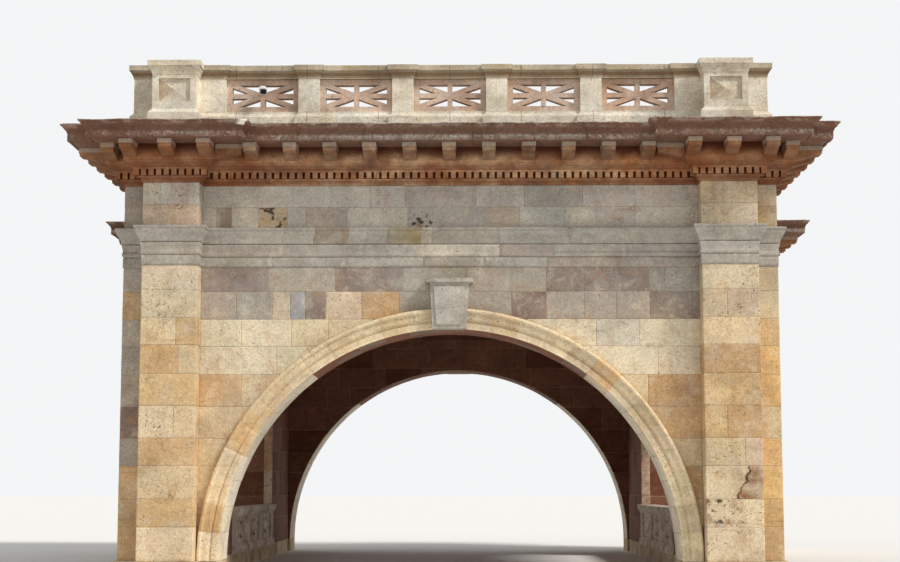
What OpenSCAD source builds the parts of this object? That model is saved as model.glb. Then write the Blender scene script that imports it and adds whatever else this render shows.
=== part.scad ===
/* [Building] */
// Strip of wall between the near arch and its pilasters
near_jamb = 380; // [330:10:460]
// Strip of wall between the far arch and its pilasters
far_jamb = 410; // [380:10:480]
// How much wider the hall is than the far arch, on each side
hall_margin = 50; // [20:10:90]
// Depth of the building, near wall face to far wall face
depth = 14000; // [13000:100:16000]
// Depth of the wider far block
far_block_d = 2760; // [2400:20:3200]
// Thickness of the near and far walls
wall_t = 1110; // [900:10:1400]
// Height of the plinth course
plinth_h = 300; // [200:10:400]
// How far the plinth stands out from the walls and pilasters
plinth_proj = 60; // [30:5:90]
// Height where the lower wall blocks end and the arch walls begin
pier_top_z = 2460; // [2000:20:2900]
// Thickness of the roof slab
roof_t = 500; // [400:20:600]

/* [Arches] */
// Radius of the near arch opening
near_arch_r = 4120; // [3800:10:4600]
// How much larger the radius of the far arch opening is
far_arch_more = 130; // [0:10:200]
// Bare strip between the ring of an arch and the pilaster
ring_gap = 10; // [10:5:80]
// How far the outer edge of the ring stands out from the wall
ring_proj = 150; // [110:5:200]
// Width of the keystone at its foot
key_foot_w = 610; // [500:10:700]
// Width of the keystone under its cap
key_top_w = 700; // [560:10:760]
// Width of the keystone cap
key_cap_w = 840; // [780:10:900]
// Height of the keystone cap
key_cap_h = 70; // [50:5:100]
// Height of the keystone from the crown of its arch
key_rise = 890; // [700:10:940]
// How far the keystone stands out from the wall
key_proj = 250; // [200:10:320]

/* [Side openings] */
// Width of each side opening, between its inner jambs
side_open_w = 6500; // [5600:50:7000]
// Distance from the near wall face to the opening
side_open_y = 3000; // [2600:50:3400]
// How far below the crown of the far arch the head of the opening springs
side_spring_drop = 1450; // [1350:10:1650]
// Rise of the head of the opening
side_rise = 1330; // [1100:10:1400]
// Thickness of the inner jamb that holds the balustrade
nib_t = 200; // [160:10:260]
// How much wider the outer part of the opening is, on each side
rebate = 150; // [100:10:200]
// Top of the balustrade in the opening
guard_top_z = 1200; // [1100:20:1300]
// Bays of the balustrade
guard_bays = 3; // [3:1:4]

/* [Pilasters and string course] */
// Width of each pilaster
pil_w = 1000; // [900:10:1100]
// How far a pilaster stands out from the wall
pil_proj = 400; // [300:10:500]
// Strip of wall between a pilaster and the corner
pil_margin = 410; // [350:10:500]
// Gap between the two pilasters of a far pair
pair_gap = 460; // [400:10:600]
// Gap between the far keystone and the string course
string_gap = 100; // [60:10:160]
// Height of the string course
string_h = 710; // [600:10:760]
// How far the string course stands out
string_proj = 150; // [120:5:190]
// Height of the frieze, from the string course to the entablature
frieze_h = 790; // [700:10:900]

/* [Entablature] */
// Height of the moulding under the dentils
foot_mould_h = 110; // [80:5:130]
// Height of the dentils
dentil_h = 110; // [80:5:140]
// Height of the quarter round over the dentils
ovolo_h = 140; // [110:5:170]
// Height of the band that carries the modillions
band_h = 290; // [270:5:320]
// Height of the plain face of the cornice
corona_h = 160; // [130:5:200]
// Height of the crowning moulding
crown_h = 150; // [110:5:170]
// Depth of the band that carries the modillions, from the wall
band_proj = 315; // [280:5:330]
// Overhang of the plain face of the cornice
corona_proj = 880; // [840:10:930]
// Overhang of the crowning moulding
crown_proj = 1000; // [970:10:1060]
// Distance from one dentil to the next
dentil_pitch = 140; // [125:1:180]
// Width of a dentil
dentil_w = 90; // [70:1:105]
// How far the dentils stand out from the wall
dentil_proj = 160; // [135:5:170]
// Distance from one modillion to the next
modillion_pitch = 710; // [660:10:760]
// Width of a modillion
modillion_w = 245; // [200:5:270]
// How far a modillion reaches out from the wall
modillion_proj = 800; // [740:10:820]

/* [Parapet] */
// How far the parapet stands back from the wall face
parapet_set = 100; // [60:5:160]
// Thickness of the parapet's pedestals
parapet_t = 400; // [340:10:460]
// How far the pedestals stand out from the run between them
pedestal_break = 60; // [40:5:70]
// Height of the parapet base
base_h = 450; // [380:10:480]
// Height of the pierced panels
panel_h = 610; // [580:10:680]
// Height of the moulded rail
rail_h = 240; // [200:10:260]
// Distance from one pedestal to the next
pedestal_pitch = 1725; // [1700:5:1750]
// Width of a pedestal
pedestal_w = 390; // [350:10:430]
// Thickness of a pierced panel
panel_t = 160; // [120:5:200]
// Width of the bars of a pierced panel
panel_bar = 88; // [64:2:96]
// Width of a corner die
die_w = 800; // [760:10:840]
// How far the rail and the die caps overhang
cap_over = 85; // [60:5:90]

/* [Hidden] */

// Plan lines of the walls
far_arch_r = near_arch_r + far_arch_more;
near_y = -depth / 2;
far_y = depth / 2;
step_y = far_y - far_block_d;
near_x = near_arch_r + near_jamb + pil_w + pil_margin;
far_x = far_arch_r + far_jamb + pil_w + pair_gap + pil_w + pil_margin;
near_in_y = near_y + wall_t;
far_in_y = far_y - wall_t;
room_x = far_arch_r + hall_margin;
open_y0 = near_y + side_open_y;
open_y1 = open_y0 + side_open_w;
open_y = (open_y0 + open_y1) / 2;

// Pilaster centre lines
near_pil_x = near_x - pil_margin - pil_w / 2;
far_pil_out_x = far_x - pil_margin - pil_w / 2;
far_pil_in_x = far_pil_out_x - pil_w - pair_gap;
pair_mid_x = (far_pil_out_x + far_pil_in_x) / 2;
pair_w = far_pil_out_x - far_pil_in_x + pil_w;

// Levels of the string course
key_top_z = plinth_h + far_arch_r + key_rise;
string_z = key_top_z + string_gap;
string_top_z = string_z + string_h;

// Levels of the entablature
entab_z = string_top_z + frieze_h;
dentil_z = entab_z + foot_mould_h;
ovolo_z = dentil_z + dentil_h;
band_z = ovolo_z + ovolo_h;
corona_z = band_z + band_h;
crown_z = corona_z + corona_h;
roof_z = crown_z + crown_h;
wall_top_z = roof_z - roof_t;

// Levels of the parapet
panel_z = roof_z + base_h;
rail_z = panel_z + panel_h;
top_z = rail_z + rail_h;

// Radius of a segment of a circle from its half width and its rise
function segment_r(half, rise) = (pow(half, 2) + pow(rise, 2)) / (2 * rise);

// Side head between the inner jambs, and the wider one outside them
side_spring_z = plinth_h + far_arch_r - side_spring_drop;
side_crown_z = side_spring_z + side_rise;
side_head_r = segment_r(side_open_w / 2, side_rise);
side_head_z = side_crown_z - side_head_r;
outer_half_w = side_open_w / 2 + rebate;
outer_head_r = segment_r(outer_half_w, side_rise + rebate);
outer_head_z = side_crown_z + rebate - outer_head_r;

// Ceiling vault, resting on a ledge of each side wall
vault_spring_z = string_z - 240;
vault_rise = 1600;
vault_seat = 300;
vault_r = segment_r(room_x, vault_rise);
vault_axis_z = vault_spring_z + vault_rise - vault_r;

// Steps in a drawn curve, faces round an arch and reach of a cutting shape
curve_steps = 6;
arch_fn = 240;
reach = 3000;
slack = 1;

warm_stone = "burlywood";
pale_stone = "wheat";
grey_stone = "tan";

// Quarter round from a to b, bulging outwards
function ovolo(a, b) = [for (i = [0 : curve_steps])
    let (t = 90 * i / curve_steps)
    [a[0] + (b[0] - a[0]) * sin(t), a[1] + (b[1] - a[1]) * (1 - cos(t))]];

// Double curve from a to b, vertical at both ends, in n steps
function cyma_reversa(a, b, n = curve_steps) = [for (i = [0 : n])
    let (t = i / n)
    [a[0] + (b[0] - a[0]) * (1 - cos(180 * t)) / 2, a[1] + (b[1] - a[1]) * t]];

// Double curve from a to b, level at both ends
function cyma_recta(a, b) = [for (i = [0 : curve_steps])
    let (t = i / curve_steps)
    [a[0] + (b[0] - a[0]) * t, a[1] + (b[1] - a[1]) * (1 - cos(180 * t)) / 2]];

// Profiles, each a list of [projection, height] from the foot upwards
string_fillet = 45;
string_profile = concat(
    [[15, string_z], [15, string_z + 180], [5, string_z + 180], [5, string_z + 190]],
    ovolo([15, string_z + 195], [32, string_z + 235]),
    [[32, string_z + 270], [15, string_z + 275]],
    cyma_reversa([20, string_z + 300], [38, string_z + 410]),
    cyma_reversa([46, string_z + 425], [string_proj - 12, string_top_z - string_fillet]),
    [[string_proj, string_top_z - string_fillet], [string_proj, string_top_z]]);

dentil_back = 80;
bed_profile = concat(
    [[20, entab_z]],
    cyma_reversa([25, entab_z + 20], [65, dentil_z - 20]),
    [[dentil_back, dentil_z - 20], [dentil_back, ovolo_z], [dentil_proj + 10, ovolo_z]],
    ovolo([dentil_proj + 10, ovolo_z + 30], [band_proj - 25, band_z]),
    [[band_proj, band_z], [band_proj, corona_z]]);

crown_foot = 40;
crown_top = 22;
cornice_profile = concat(
    [[corona_proj, corona_z], [corona_proj, crown_z], [corona_proj + 18, crown_z]],
    [[corona_proj + 18, crown_z + crown_foot]],
    cyma_recta([corona_proj + 24, crown_z + crown_foot], [crown_proj, roof_z - crown_top]),
    [[crown_proj, roof_z]]);

// Profiles of the parapet: a base with a sloping top, and a cap on a hollow neck
base_profile = [[cap_over * 0.8, roof_z], [cap_over * 0.8, panel_z - 110],
    [cap_over * 0.6, panel_z - 90], [0, panel_z - 35], [0, panel_z]];
slab_h = rail_h * 0.4;
rail_steps = 4;
rail_profile = concat(
    [[0, rail_z], [12, rail_z], [12, rail_z + 20]],
    cyma_reversa([14, rail_z + 22], [cap_over * 0.75, top_z - slab_h - 12], rail_steps),
    [[cap_over * 0.75, top_z - slab_h], [cap_over, top_z - slab_h], [cap_over, top_z]]);

// A block whose four sides all carry the same profile, mitred at the corners
module moulded_block(x0, x1, y0, y1, profile) {
    up = [for (p = profile) [x1 + p[0], p[1]]];
    down = [for (i = [len(profile) - 1 : -1 : 0]) [x0 - profile[i][0], profile[i][1]]];
    front = [for (p = profile) [y1 + p[0], p[1]]];
    back = [for (i = [len(profile) - 1 : -1 : 0]) [y0 - profile[i][0], profile[i][1]]];
    intersection() {
        translate([0, y1 + reach, 0])
            rotate([90, 0, 0])
                linear_extrude(y1 - y0 + 2 * reach)
                    polygon(concat(up, down));
        translate([x0 - reach, 0, 0])
            rotate([90, 0, 90])
                linear_extrude(x1 - x0 + 2 * reach)
                    polygon(concat(front, back));
    }
}

// Plan region outside the near wall, with mitred ends
module near_region(z0, z1) {
    translate([0, 0, z0])
        linear_extrude(z1 - z0)
            polygon([[near_x, near_y], [near_x + reach, near_y - reach],
                     [-near_x - reach, near_y - reach], [-near_x, near_y]]);
}

// Plan region outside the far wall, with mitred ends
module far_region(z0, z1) {
    translate([0, 0, z0])
        linear_extrude(z1 - z0)
            polygon([[far_x, far_y], [far_x + reach, far_y + reach],
                     [-far_x - reach, far_y + reach], [-far_x, far_y]]);
}

// Plan region outside the right-hand side, with mitred ends
module side_region(z0, z1) {
    translate([0, 0, z0])
        linear_extrude(z1 - z0)
            polygon([[near_x, near_y], [near_x + reach, near_y - reach],
                     [far_x + reach, far_y + reach], [far_x, far_y],
                     [far_x, step_y], [near_x, step_y]]);
}

module near_moulding(profile, z0, z1) {
    intersection() {
        union() {
            moulded_block(-near_x, near_x, near_y, 0, profile);
            for (s = [-1, 1])
                moulded_block(s * near_pil_x - pil_w / 2, s * near_pil_x + pil_w / 2,
                              near_y - pil_proj, 0, profile);
            children();
        }
        near_region(z0, z1);
    }
}

module far_moulding(profile, z0, z1) {
    intersection() {
        union() {
            moulded_block(-far_x, far_x, 0, far_y, profile);
            for (s = [-1, 1])
                moulded_block(s * pair_mid_x - pair_w / 2, s * pair_mid_x + pair_w / 2,
                              0, far_y + pil_proj, profile);
            children();
        }
        far_region(z0, z1);
    }
}

module side_moulding(profile, z0, z1) {
    intersection() {
        union() {
            moulded_block(0, near_x, near_y, far_y, profile);
            moulded_block(0, far_x, step_y, far_y, profile);
            children();
        }
        side_region(z0, z1);
    }
}

module both_sides() {
    children();
    mirror([1, 0, 0])
        children();
}

// Plinth course of the right-hand side, from the near pier to the far pier
module right_plinth() {
    p = plinth_proj;
    near_in = near_pil_x - pil_w / 2;
    near_out = near_pil_x + pil_w / 2;
    far_in = far_pil_in_x - pil_w / 2;
    far_out = far_pil_out_x + pil_w / 2;
    linear_extrude(plinth_h)
        polygon([
            [near_arch_r, near_y - p], [near_in - p, near_y - p],
            [near_in - p, near_y - pil_proj - p], [near_out + p, near_y - pil_proj - p],
            [near_out + p, near_y - p], [near_x + p, near_y - p],
            [near_x + p, step_y - p], [far_x + p, step_y - p],
            [far_x + p, far_y + p], [far_out + p, far_y + p],
            [far_out + p, far_y + pil_proj + p], [far_in - p, far_y + pil_proj + p],
            [far_in - p, far_y + p], [far_arch_r, far_y + p],
            [far_arch_r, far_in_y], [room_x, far_in_y],
            [room_x, near_in_y], [near_arch_r, near_in_y]]);
}

// Half of a wall with an arch, cut between two heights
module arch_wall_part(x0, x1, y0, y1, z0, z1, r) {
    difference() {
        translate([x0, y0, z0])
            cube([x1 - x0, y1 - y0, z1 - z0]);
        translate([0, y1 + reach, plinth_h])
            rotate([90, 0, 0])
                cylinder(h = y1 - y0 + 2 * reach, r = r, $fn = arch_fn);
    }
}

// Ring moulding on a wall that faces -Y, standing on its springing line
module ring(r, w, a0, a1) {
    p = ring_proj;
    profile = concat(
        [[r, 0], [r, p * 0.55], [r + w * 0.3, p * 0.55], [r + w * 0.3, p * 0.4],
         [r + w * 0.36, p * 0.4], [r + w * 0.46, p * 0.75], [r + w * 0.78, p * 0.75],
         [r + w * 0.78, p], [r + w * 0.94, p]],
        [[r + w, p * 0.7], [r + w, 0]]);
    rotate([90, 0, 0])
        rotate([0, 0, a0])
            rotate_extrude(angle = a1 - a0, $fn = arch_fn)
                polygon(profile);
}

// Keystone on a wall that faces -Y, from its foot to its top: a wedge with a
// raised face, under a cap; wedge and face reach a little way into each other
module keystone_shape(z_foot, z_top) {
    z_cap = z_top - key_cap_h;
    face = 30;
    border = 70;
    bite = 10;
    cap_over_face = (key_cap_w - key_top_w) / 2;
    rotate([90, 0, 0])
        linear_extrude(key_proj)
            polygon([[-key_foot_w / 2, z_foot], [key_foot_w / 2, z_foot],
                     [key_top_w / 2, z_cap], [key_top_w / 2, z_cap + bite],
                     [-key_top_w / 2, z_cap + bite], [-key_top_w / 2, z_cap]]);
    translate([0, bite - key_proj, 0])
        rotate([90, 0, 0])
            linear_extrude(face + bite)
                polygon([[border - key_foot_w / 2, z_foot + border],
                         [key_foot_w / 2 - border, z_foot + border],
                         [key_top_w / 2 - border, z_cap - border],
                         [border - key_top_w / 2, z_cap - border]]);
    translate([-key_cap_w / 2, -key_proj - cap_over_face, z_cap])
        cube([key_cap_w, key_proj + cap_over_face, key_cap_h]);
}

// The room that a keystone takes out of the ring beside it, with a fine joint
module keystone_room(z_foot, z_top) {
    joint = 4;
    below = 60;
    foot = key_foot_w / 2 + joint;
    top = key_top_w / 2 + joint;
    rotate([90, 0, 0])
        linear_extrude(key_proj)
            polygon([[-foot, z_foot - below], [foot, z_foot - below], [foot, z_foot],
                     [top, z_top], [-top, z_top], [-foot, z_foot]]);
}

function key_foot_z(r, z) = z + sqrt(pow(r, 2) - pow(key_foot_w / 2, 2));

// Dentils along one stretch of wall that starts at the origin, runs along +X
// and faces -Y; each end is an outer corner (1) or an inner corner (-1)
module dentil_run(length, end_a, end_b) {
    gap = dentil_pitch - dentil_w;
    x0 = end_a > 0 ? -dentil_proj : dentil_proj + gap;
    x1 = end_b > 0 ? length + dentil_proj : length - dentil_proj - gap;
    n = max(1, round((x1 - x0 - dentil_w) / dentil_pitch));
    step = (x1 - x0 - dentil_w) / n;
    bite = 20;
    teeth = [for (i = [0 : n]) each [
        [x0 + i * step, -dentil_back], [x0 + i * step, -dentil_proj],
        [x0 + i * step + dentil_w, -dentil_proj], [x0 + i * step + dentil_w, -dentil_back]]];
    translate([0, 0, dentil_z])
        linear_extrude(dentil_h)
            polygon(concat(teeth, [[x1, bite - dentil_back], [x0, bite - dentil_back]]));
}

// One modillion on a wall that faces -Y, with its wall line at the origin: a
// bracket with a rolled front and a double curve below, under a square cap
module modillion() {
    cap_h = 90;
    cap_lip = 10;
    front_h = 75;
    roll = 35;
    z_cap = corona_z - cap_h;
    z_front = z_cap - front_h;
    z_back = band_z + 40;
    p_front = modillion_proj - 15;
    nose = [for (i = [0 : curve_steps / 2])
        let (t = 90 * i / (curve_steps / 2))
        [-p_front + roll * (1 - cos(t)), z_front + roll * (1 - sin(t))]];
    sweep = [for (i = [1 : curve_steps])
        let (t = i / curve_steps)
        [-p_front + roll + (p_front - roll - band_proj) * t,
         z_front + (z_back - z_front) * (1 - cos(180 * t)) / 2]];
    translate([cap_lip - modillion_w / 2, 0, 0])
        rotate([90, 0, 90])
            linear_extrude(modillion_w - 2 * cap_lip)
                polygon(concat([[-band_proj, z_cap], [-p_front, z_cap]], nose, sweep));
    translate([-modillion_w / 2, -modillion_proj, z_cap])
        cube([modillion_w, modillion_proj - band_proj, cap_h]);
}

// Modillions evenly spaced between two places on a wall that faces -Y
module modillion_run(x0, x1) {
    n = max(1, round((x1 - x0) / modillion_pitch));
    for (i = [0 : n])
        translate([x0 + (x1 - x0) * i / n, 0, 0])
            modillion();
}

// Walls

module plinth_right() { color(grey_stone) right_plinth(); }
module plinth_left() { color(grey_stone) mirror([1, 0, 0]) right_plinth(); }

module near_pier_right() {
    color(warm_stone)
        arch_wall_part(near_arch_r / 2, near_x, near_y, near_in_y, plinth_h, pier_top_z, near_arch_r);
}
module near_pier_left() { mirror([1, 0, 0]) near_pier_right(); }

module near_arch_wall() {
    color(warm_stone)
        arch_wall_part(-near_x, near_x, near_y, near_in_y, pier_top_z, wall_top_z, near_arch_r);
}

module far_pier_right() {
    color(warm_stone)
        arch_wall_part(far_arch_r / 2, far_x, far_in_y, far_y, plinth_h, pier_top_z, far_arch_r);
}
module far_pier_left() { mirror([1, 0, 0]) far_pier_right(); }

module far_arch_wall() {
    color(warm_stone)
        arch_wall_part(-far_x, far_x, far_in_y, far_y, pier_top_z, wall_top_z, far_arch_r);
}

// Block of masonry on the right-hand side, with the ledge that the vault rests on
module ledge_block(x_out, y0, y1, z0) {
    translate([room_x, y0, z0])
        cube([x_out - room_x, y1 - y0, vault_spring_z - z0]);
    translate([room_x + vault_seat, y0, vault_spring_z])
        cube([x_out - room_x - vault_seat, y1 - y0, wall_top_z - vault_spring_z]);
}

module far_wing_right() { color(warm_stone) ledge_block(far_x, step_y, far_in_y, plinth_h); }
module far_wing_left() { mirror([1, 0, 0]) far_wing_right(); }

module side_wall_piers_right() {
    color(warm_stone) {
        ledge_block(near_x, near_in_y, open_y0 - rebate, plinth_h);
        ledge_block(near_x, open_y1 + rebate, step_y, plinth_h);
        for (y = [open_y0 - rebate, open_y1])
            translate([room_x, y, plinth_h])
                cube([nib_t, rebate, side_spring_z - plinth_h]);
    }
}
module side_wall_piers_left() { mirror([1, 0, 0]) side_wall_piers_right(); }

module side_arch_wall_right() {
    color(warm_stone)
        difference() {
            ledge_block(near_x, open_y0 - rebate, open_y1 + rebate, side_spring_z);
            translate([0, open_y, side_head_z])
                rotate([0, 90, 0])
                    cylinder(h = near_x, r = side_head_r, $fn = arch_fn);
            translate([room_x + nib_t, open_y, outer_head_z])
                rotate([0, 90, 0])
                    cylinder(h = near_x, r = outer_head_r, $fn = arch_fn);
        }
}
module side_arch_wall_left() { mirror([1, 0, 0]) side_arch_wall_right(); }

module ceiling_vault() {
    half = room_x + vault_seat;
    color(grey_stone)
        difference() {
            translate([-half, near_in_y, vault_spring_z])
                cube([2 * half, far_in_y - near_in_y, wall_top_z - vault_spring_z]);
            translate([0, far_in_y + reach, vault_axis_z])
                rotate([90, 0, 0])
                    cylinder(h = far_in_y - near_in_y + 2 * reach, r = vault_r, $fn = arch_fn);
        }
}

module roof_slab() {
    color(grey_stone)
        translate([0, 0, wall_top_z])
            linear_extrude(roof_z - wall_top_z)
                polygon([[-near_x, near_y], [near_x, near_y], [near_x, step_y],
                         [far_x, step_y], [far_x, far_y], [-far_x, far_y],
                         [-far_x, step_y], [-near_x, step_y]]);
}

// Pilasters, arch rings and keystones

module pilaster_shaft() {
    translate([-pil_w / 2, -pil_proj, plinth_h])
        cube([pil_w, pil_proj, entab_z - plinth_h]);
}

module near_pilasters() {
    color(pale_stone)
        for (s = [-1, 1])
            translate([s * near_pil_x, near_y, 0])
                pilaster_shaft();
}

module far_pilasters() {
    color(pale_stone)
        for (s = [-1, 1], x = [far_pil_in_x, far_pil_out_x])
            translate([s * x, far_y, 0])
                rotate([0, 0, 180])
                    pilaster_shaft();
}

module near_archivolt() {
    color(pale_stone)
        translate([0, near_y, 0])
            difference() {
                translate([0, 0, plinth_h])
                    ring(near_arch_r, near_jamb - ring_gap, 0, 180);
                keystone_room(key_foot_z(near_arch_r, plinth_h), plinth_h + near_arch_r + key_rise);
            }
}

module near_keystone() {
    color(pale_stone)
        translate([0, near_y, 0])
            keystone_shape(key_foot_z(near_arch_r, plinth_h), plinth_h + near_arch_r + key_rise);
}

module far_archivolt() {
    color(pale_stone)
        translate([0, far_y, 0])
            rotate([0, 0, 180])
                difference() {
                    translate([0, 0, plinth_h])
                        ring(far_arch_r, near_jamb - ring_gap, 0, 180);
                    keystone_room(key_foot_z(far_arch_r, plinth_h), plinth_h + far_arch_r + key_rise);
                }
}

module far_keystone() {
    color(pale_stone)
        translate([0, far_y, 0])
            rotate([0, 0, 180])
                keystone_shape(key_foot_z(far_arch_r, plinth_h), plinth_h + far_arch_r + key_rise);
}

module side_archivolts() {
    half_angle = asin(outer_half_w / outer_head_r);
    color(pale_stone)
        both_sides()
            translate([near_x, open_y, 0])
                rotate([0, 0, 90])
                    difference() {
                        translate([0, 0, outer_head_z])
                            ring(outer_head_r, near_jamb - ring_gap, 90 - half_angle, 90 + half_angle);
                        keystone_room(key_foot_z(outer_head_r, outer_head_z),
                                      side_crown_z + rebate + key_rise);
                    }
}

module side_keystones() {
    color(pale_stone)
        both_sides()
            translate([near_x, open_y, 0])
                rotate([0, 0, 90])
                    keystone_shape(key_foot_z(outer_head_r, outer_head_z),
                                   side_crown_z + rebate + key_rise);
}

// String course and entablature

module near_string_course() {
    color(pale_stone)
        difference() {
            near_moulding(string_profile, string_z - slack, string_top_z + slack);
            near_pilasters();
        }
}

module side_string_courses() {
    color(pale_stone)
        both_sides()
            side_moulding(string_profile, string_z - slack, string_top_z + slack);
}

module far_string_course() {
    color(pale_stone)
        difference() {
            far_moulding(string_profile, string_z - slack, string_top_z + slack);
            far_pilasters();
        }
}

// Dentils of a front that faces -Y, on its wall and on a projection that runs
// from in_x to out_x on either side
module front_dentils(wall_x, in_x, out_x) {
    translate([-in_x, 0, 0])
        dentil_run(2 * in_x, -1, -1);
    both_sides() {
        translate([in_x, -pil_proj, 0])
            dentil_run(out_x - in_x, 1, 1);
        translate([out_x, 0, 0])
            dentil_run(wall_x - out_x, -1, 1);
        translate([out_x, -pil_proj, 0])
            rotate([0, 0, 90])
                dentil_run(pil_proj, 1, -1);
        translate([in_x, 0, 0])
            rotate([0, 0, -90])
                dentil_run(pil_proj, -1, 1);
    }
}

module near_bed_moulding() {
    color(warm_stone)
        near_moulding(bed_profile, entab_z - slack, corona_z + slack)
            translate([0, near_y, 0])
                front_dentils(near_x, near_pil_x - pil_w / 2, near_pil_x + pil_w / 2);
}

module far_bed_moulding() {
    color(warm_stone)
        far_moulding(bed_profile, entab_z - slack, corona_z + slack)
            rotate([0, 0, 180])
                translate([0, -far_y, 0])
                    front_dentils(far_x, pair_mid_x - pair_w / 2, pair_mid_x + pair_w / 2);
}

module side_bed_mouldings() {
    color(warm_stone)
        both_sides()
            side_moulding(bed_profile, entab_z - slack, corona_z + slack) {
                translate([near_x, near_y, 0])
                    rotate([0, 0, 90])
                        dentil_run(step_y - near_y, 1, -1);
                translate([near_x, step_y, 0])
                    dentil_run(far_x - near_x, -1, 1);
                translate([far_x, step_y, 0])
                    rotate([0, 0, 90])
                        dentil_run(far_y - step_y, 1, 1);
            }
}

// Distance from an outer corner of the wall to the middle of its modillion
corner_in = modillion_w / 2 + 10 - band_proj;

// Modillions of a front that faces -Y: evenly from the middle outwards, one at
// each end of the wall, and on a projection from in_x to out_x on either side,
// which has one more in profile on its inner return
module front_modillions(wall_x, in_x, out_x) {
    side_n = floor((in_x - band_proj - modillion_w) / modillion_pitch);
    for (i = [-side_n : side_n])
        translate([i * modillion_pitch, 0, 0])
            modillion();
    both_sides() {
        translate([wall_x - corner_in, 0, 0])
            modillion();
        translate([0, -pil_proj, 0])
            modillion_run(in_x + corner_in, out_x - corner_in);
        translate([in_x, -band_proj - pil_proj / 2, 0])
            rotate([0, 0, -90])
                modillion();
    }
}

module near_modillions() {
    color(warm_stone)
        translate([0, near_y, 0])
            front_modillions(near_x, near_pil_x - pil_w / 2, near_pil_x + pil_w / 2);
}

module far_modillions() {
    color(warm_stone)
        translate([0, far_y, 0])
            rotate([0, 0, 180])
                front_modillions(far_x, pair_mid_x - pair_w / 2, pair_mid_x + pair_w / 2);
}

module side_modillions() {
    color(warm_stone)
        both_sides() {
            translate([near_x, 0, 0])
                rotate([0, 0, 90])
                    modillion_run(near_y + corner_in, step_y - modillion_proj - modillion_w);
            translate([0, step_y, 0])
                modillion_run(far_x - corner_in - modillion_pitch, far_x - corner_in);
            translate([far_x, 0, 0])
                rotate([0, 0, 90])
                    modillion_run(step_y + corner_in, far_y - corner_in);
        }
}

module near_cornice() {
    color(pale_stone)
        near_moulding(cornice_profile, corona_z - slack, roof_z + slack);
}

module side_cornices() {
    color(pale_stone)
        both_sides()
            side_moulding(cornice_profile, corona_z - slack, roof_z + slack);
}

module far_cornice() {
    color(pale_stone)
        far_moulding(cornice_profile, corona_z - slack, roof_z + slack);
}

// Parapet

px = near_x - parapet_set;
py = near_y + parapet_set;
qx = far_x - parapet_set;
qy = far_y - parapet_set;
sy = step_y + parapet_set;
bay_w = pedestal_pitch - pedestal_w;
die_trim = (pil_w - die_w) / 2;
far_die_w = pair_w - 2 * die_trim;

// Bays of the near and far runs, of each side run and of each wing
bays_front = 5;
bays_side = floor((sy - py - 2 * parapet_t) / pedestal_pitch);
side_mid_y = (py + sy) / 2;
wing_mid_y = (sy + qy) / 2;
side_y0 = side_mid_y - bays_side / 2 * pedestal_pitch + pedestal_w / 2;
side_y1 = side_mid_y + bays_side / 2 * pedestal_pitch - pedestal_w / 2;
end_x = (bays_front / 2) * pedestal_pitch - pedestal_w / 2;
function front_mid(i) = (i - (bays_front - 1) / 2) * pedestal_pitch;
function side_mid(i) = side_mid_y + (i - (bays_side - 1) / 2) * pedestal_pitch;

// Solid pieces of the right-hand half, as [x0, x1, y0, y1], besides the dies
pedestals = concat(
    [for (i = [(bays_front + 1) / 2 : bays_front - 1], y = [py, qy - parapet_t])
        let (x = front_mid(i) - pedestal_pitch / 2)
        [x - pedestal_w / 2, x + pedestal_w / 2, y, y + parapet_t]],
    [[end_x, near_pil_x - die_w / 2 + slack, py, py + parapet_t],
     [near_pil_x + die_w / 2 - slack, px, py, py + parapet_t],
     [px - parapet_t, px, py, side_y0]],
    [for (i = [1 : bays_side - 1])
        let (y = side_mid(i) - pedestal_pitch / 2)
        [px - parapet_t, px, y - pedestal_w / 2, y + pedestal_w / 2]],
    [[px - parapet_t, px, side_y1, sy + parapet_t],
     [px - parapet_t, qx, sy, sy + parapet_t],
     [qx - parapet_t, qx, sy, wing_mid_y - bay_w / 2],
     [qx - parapet_t, qx, wing_mid_y + bay_w / 2, qy],
     [pair_mid_x + far_die_w / 2 - slack, qx, qy - parapet_t, qy],
     [end_x, pair_mid_x - far_die_w / 2 + slack, qy - parapet_t, qy]]);

// The four corner dies, each as [x0, x1, y0, y1] of its right-hand one
dies = [
    [near_pil_x - die_w / 2, near_pil_x + die_w / 2, py - pil_proj, py + parapet_t],
    [pair_mid_x - far_die_w / 2, pair_mid_x + far_die_w / 2, qy - parapet_t, qy + pil_proj]];

// Parapet run with one profile inside and outside, set back from the pedestals
module parapet_strip(profile) {
    d = pedestal_break;
    t = parapet_t - 2 * d;
    n = len(profile) - 1;
    inside = concat([[-profile[0][0], profile[0][1] - slack]],
                    [for (p = profile) [-p[0], p[1]]],
                    [[-profile[n][0], profile[n][1] + slack]]);
    difference() {
        union() {
            moulded_block(d - px, px - d, py + d, wing_mid_y, profile);
            moulded_block(d - qx, qx - d, sy + d, qy - d, profile);
        }
        moulded_block(d + t - px, px - d - t, py + d + t, wing_mid_y, inside);
        moulded_block(d + t - qx, qx - d - t, sy + d + t, qy - d - t, inside);
    }
}

module die_blocks(profile, grow) {
    both_sides()
        for (b = dies)
            moulded_block(b[0] - grow, b[1] + grow, b[2] - grow, b[3] + grow, profile);
}

// The room that a die takes out of the run beside it
module die_room(profile, grow) {
    n = len(profile) - 1;
    tall = concat([[profile[0][0], profile[0][1] - slack]], profile,
                  [[profile[n][0], profile[n][1] + slack]]);
    die_blocks(tall, grow);
}

module pedestal_blocks(profile) {
    both_sides()
        for (b = pedestals)
            moulded_block(b[0], b[1], b[2], b[3], profile);
}

module parapet_base() {
    color(pale_stone)
        difference() {
            union() {
                parapet_strip(base_profile);
                pedestal_blocks(base_profile);
            }
            die_room(base_profile, 0);
        }
}

module parapet_pedestals() {
    color(pale_stone)
        both_sides()
            for (b = pedestals)
                translate([b[0], b[2], panel_z])
                    cube([b[1] - b[0], b[3] - b[2], panel_h]);
}

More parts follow.
